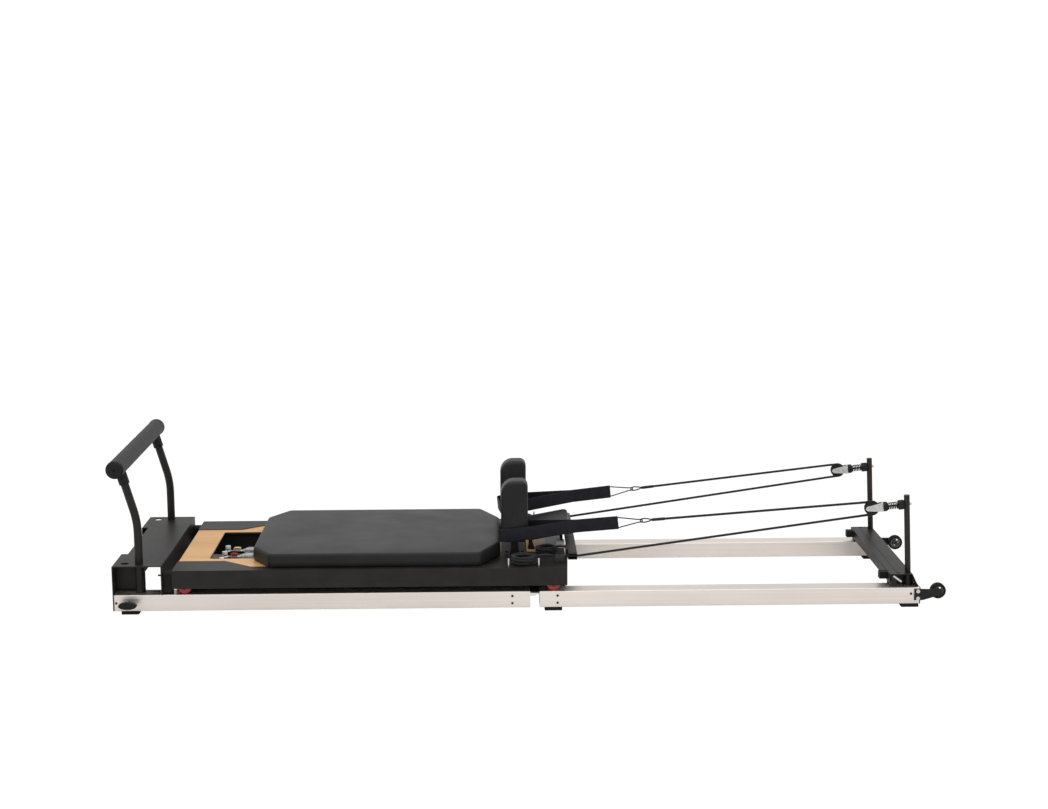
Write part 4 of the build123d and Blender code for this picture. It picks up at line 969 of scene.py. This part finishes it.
def snapLink(side, tag):
    # a pear-shaped eye standing upright on the rope's line, then the barrel that ends the rope
    start, run, level, up = runFrame(side)
    p = link
    a = np.linspace(0, 2 * math.pi, 41)[:-1]
    wide = (p["high"] / 2 - p["wire"]) * np.sin(a) * (1 - 0.45 * np.cos(a))
    line = (start + (p["from"] + p["long"] / 2 + (p["long"] / 2 - p["wire"])
                     * np.cos(a))[:, None] * run + wide[:, None] * up)
    eye = carry("eye", line, level, circle(p["wire"], 8), "zincDark", closed=True)
    x0, b = p["from"] + p["long"] - 0.003, p["barrel"]
    x1 = x0 + p["barrelLong"]
    barrel = lathe("barrel", [(x0, b * 0.4), (x0 + 0.002, b * 0.8), (x0 + 0.005, b),
                              (x1 - 0.006, b), (x1, b * 0.85)], start, run, 20, "zincDark")
    dress(joinMeshes("snapLink_" + tag, [eye, barrel]), "carriage",
          *(["snap_links"] if side == near else []), slot="steel_bright")


for side, tag in ((near, "near"), (far, "far")):
    handStrap(side, tag)
    snapLink(side, tag)
print("stage: straps")

ropeEnd = {"clampX": st(1258), "exitX": st(1320), "y": 0.243, "z": 0.147, "lead": 0.026,
           "fromLink": 0.4352}


def ropeRuns(side, tag):
    # straight pulled runs: link to sheave, round it, and back to the hole in the end bar
    origin, run = runFrame(side)[:2]
    start = origin + run * ropeEnd["fromLink"]
    c = np.array([pulley["x"], side * pulley["y"], pulley["z"]])
    out = np.array([ropeEnd["exitX"], side * ropeEnd["y"], ropeEnd["z"]])
    clamp = np.array([ropeEnd["clampX"], side * ropeEnd["y"], ropeEnd["z"]])
    R = pulley["wrapR"]

    def touch(p, sign):
        dx, dz = p[0] - c[0], p[2] - c[2]
        a = math.atan2(dz, dx) - sign * math.acos(R / math.hypot(dx, dz))
        return a, c + R * np.array([math.cos(a), 0, math.sin(a)])

    aTop, pTop = touch(start, 1)
    aLow, pLow = touch(out, -1)
    aTop += 2 * math.pi if aTop < 0 else 0
    aLow -= 2 * math.pi if aLow > 0 else 0

    def leadIn(farEnd, p):
        span = np.array([farEnd[0] - p[0], 0, farEnd[2] - p[2]])
        return p + span / np.linalg.norm(span) * ropeEnd["lead"]

    def straight(a, b, n):
        return a + (b - a) * np.linspace(0, 1, n)[:, None]

    kTop, kLow = leadIn(start, pTop), leadIn(out, pLow)
    midTop = start + (kTop - start) * 0.45
    midLow = out + (kLow - out) * 0.45
    a = np.linspace(aTop, aLow, 40)
    wrap = np.vstack([straight(kTop, pTop, 5)[:-1],
                      c + R * np.stack([np.cos(a), 0 * a, np.sin(a)], -1),
                      straight(pLow, kLow, 5)[1:]])
    r = pulley["ropeR"]
    tail = nurbsPath([clamp, clamp + (0.03, 0, 0), out, out + (midLow - out) * 0.04,
                      out + (midLow - out) * 0.10])
    lowRun = np.vstack([tail, straight(tail[-1], midLow, 40)[1:]])
    runs = [("ropeTopOuter", straight(start, midTop, 50), "carriage", "frame"),
            ("ropeTopInner", straight(midTop, kTop, 40), "frame", "riser_" + tag),
            ("ropeLowInner", straight(midLow, kLow, 40), "frame", "riser_" + tag),
            ("ropeLowOuter", lowRun, "carriage", "frame")]
    first = True
    for name, path, a, b in runs:
        piece = ropeTube(name + "_" + tag, path, r, "rope", 10)
        if first:
            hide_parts("rope_" + tag)
            first = False
        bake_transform(piece)
    wrapped = ropeTube("ropeRound_" + tag, wrap, r, "rope", 10, (0, 1, 0))
    dress(wrapped, "riser_" + tag, slot="rope")


for side, tag in ((near, "near"), (far, "far")):
    ropeRuns(side, tag)
print("stage: ropes")


def spareCoil(name, x, y, r, z0, high, turns, end, seed):
    # a loose hand-wound coil: turns wander in radius and height, then lead to the cleat
    rng = np.random.default_rng(seed)
    steps = 14
    n = turns * steps
    k = np.arange(n + 1)
    toEnd = math.atan2(end[1] - y, end[0] - x)
    a = toEnd - 0.9 + k * 2 * math.pi / steps
    layer = np.floor(k / steps)
    radius = (r + (np.array([0.45, -0.35, 0.1, 0.55, -0.2, 0.3, -0.5, 0.0])[layer.astype(int) % 8]
                   * 0.009) + 0.0012 * np.sin(a * 2 + layer * 1.7))
    z = z0 + 0.0028 + (high - 0.0056) * np.minimum(k / n, 1) + 0.0006 * rng.random(n + 1)
    loop = np.stack([x + radius * np.cos(a), y + radius * np.sin(a), z], -1)
    last = loop[-1]
    lead = [last + (np.array(end) - last) * t + np.array([0, 0, 0.006 * math.sin(math.pi * t)])
            for t in (0.45, 0.75)]
    path = nurbsPath([tuple(p) for p in loop] + [tuple(p) for p in lead] + [tuple(end)], 8)
    return ropeTube(name, path, 0.0033, "rope", 8)


coils = [("spareRope_near", 1168, -0.247, 0.031, 0.1286, 0.0238, 6, (st(1257.2), -0.243, 0.147), 3),
         ("spareRope_far", 1168, 0.247, 0.031, 0.1286, 0.0238, 6, (st(1257.2), 0.243, 0.147), 5),
         ("spareRope_mid", 1236, -0.128, 0.027, 0.1286, 0.0196, 5, (st(1293.9), -0.140, 0.147), 7)]
for k, (name, x, y, r, z0, high, turns, end, seed) in enumerate(coils):
    piece = spareCoil(name, st(x), y, r, z0, high, turns, end, seed)
    dress(piece, "carriage", *(["rope_coils"] if k == 0 else []), slot="rope")
print("stage: spare rope")

# Transport wheels
roll = {"x": st(2353.5), "y": 0.280, "z": 0.0445, "r": 0.0225, "half": 0.010}


def transportWheel(side, tag):
    p = roll
    centre = (p["x"], side * p["y"], p["z"])
    out = side
    tyre = lathe("transportTyre_" + tag, np.array([
        (-10, 15.5), (-10, 19), (-8.8, 21.3), (-6, 22.4), (0, 22.5), (6, 22.4), (8.8, 21.3),
        (10, 19), (10, 15.5), (8.6, 15), (-8.6, 15)]) * mm, centre, (0, out, 0), 56, "rubber",
        closeU=True)
    parts = [lathe("rim", np.array([(-8.4, 12.6), (-8.4, 15.2), (8.4, 15.2), (8.4, 12.6),
                                    (7.4, 12.2), (-7.4, 12.2)]) * mm, centre, (0, out, 0), 48,
                   "grey", closeU=True),
             lathe("boss", np.array([(-9.6, 5.1), (-9.6, 7.2), (9.0, 7.2), (9.6, 6.6),
                                     (9.6, 5.1)]) * mm, centre, (0, out, 0), 32, "grey",
                   closeU=True)]
    for k in range(5):
        a = math.radians(90 + 72 * k)
        d = np.array([math.cos(a), 0, math.sin(a)])
        path = np.array(centre) + d * np.linspace(0.0065, 0.0128, 4)[:, None]
        parts.append(carry("spoke", path, (0, 1.0, 0), roundedBox(0.013, 0.0034, 0.001, 3),
                           "grey"))
    hub = joinMeshes("transportHub_" + tag, parts)
    sharpen(hub)
    body = "transport_wheel_" + tag
    dress(tyre, body, body, slot="rubber")
    dress(hub, body, slot="plastic_black")


for side, tag in ((near, "near"), (far, "far")):
    transportWheel(side, tag)
print("stage: transport wheels")

# Floor, light and camera
floorMesh = bpy.data.meshes.new("floor")
floorMesh.from_pydata([(-60, -60, 0), (60, -60, 0), (60, 60, 0), (-60, 60, 0)], [], [(0, 1, 2, 3)])
floor = bpy.data.objects.new("floor", floorMesh)
bpy.context.collection.objects.link(floor)
floorMat, floorTree, floorBsdf, _ = shader("WhitePaper", 0.9)
floorBsdf.inputs["Base Color"].default_value = linear("#e6e6e6")
# seen directly the paper glows, so it meets the white backdrop with only a faint shadow
ray = add(floorTree, "LightPath")
glow = add(floorTree, "Emission", {"Color": linear("#ffffff"), "Strength": 1.06})
share = calc(floorTree, "MULTIPLY", ray.outputs["Is Camera Ray"], 0.94)
both = add(floorTree, "MixShader", {0: share, 1: floorBsdf.outputs[0], 2: glow.outputs[0]})
floorTree.links.new(both.outputs[0], floorTree.nodes["Material Output"].inputs["Surface"])
floorMesh.materials.append(floorMat)

world = bpy.data.worlds.new("studio")
bpy.context.scene.world = world
world.use_nodes = True
world.node_tree.nodes["Background"].inputs["Color"].default_value = linear("#ffffff")
worldTree = world.node_tree
# the backdrop is seen as pure white and lights the piece a little less
ray = add(worldTree, "LightPath")
power = remap(worldTree, ray.outputs["Is Camera Ray"], 0.0, 1.0, 0.84, 1.04)
worldTree.links.new(power, worldTree.nodes["Background"].inputs["Strength"])
bpy.context.scene.view_settings.view_transform = "Standard"


def softBox(name, where, size, power, aim):
    light = bpy.data.lights.new(name, "AREA")
    light.shape = "RECTANGLE"
    light.size, light.size_y = size
    light.energy = power
    lamp = bpy.data.objects.new(name, light)
    bpy.context.collection.objects.link(lamp)
    d = Vector(aim) - Vector(where)
    lamp.location = where
    lamp.rotation_euler = d.to_track_quat("-Z", "Y").to_euler()


softBox("overhead", (0.2, -0.6, 3.6), (4.5, 3.0), 60, (0, 0, 0.1))
softBox("front", (-1.6, -5.0, 2.8), (3.0, 2.0), 14, (0, 0, 0.1))

view = {"place": (-0.1105, -5.3091, 1.4773), "yaw": 0.0182, "pitch": 0.1736, "roll": -0.0047,
        "lens": 62.54}
camera = bpy.data.cameras.new("camera")
camera.lens = view["lens"]
camera.sensor_width = 36.0
camera.sensor_fit = "HORIZONTAL"
cameraObj = bpy.data.objects.new("camera", camera)
bpy.context.collection.objects.link(cameraObj)
cy, sy = math.cos(view["yaw"]), math.sin(view["yaw"])
cp, sp = math.cos(view["pitch"]), math.sin(view["pitch"])
forward = Vector((sy * cp, cy * cp, -sp))
right = Vector((cy, -sy, 0))
above = right.cross(forward)
cr, sr = math.cos(view["roll"]), math.sin(view["roll"])
r2, u2 = right * cr + above * sr, above * cr - right * sr
turn = Matrix((r2, u2, -forward)).transposed()
cameraObj.matrix_world = Matrix.Translation(view["place"]) @ turn.to_4x4()
bpy.context.scene.camera = cameraObj
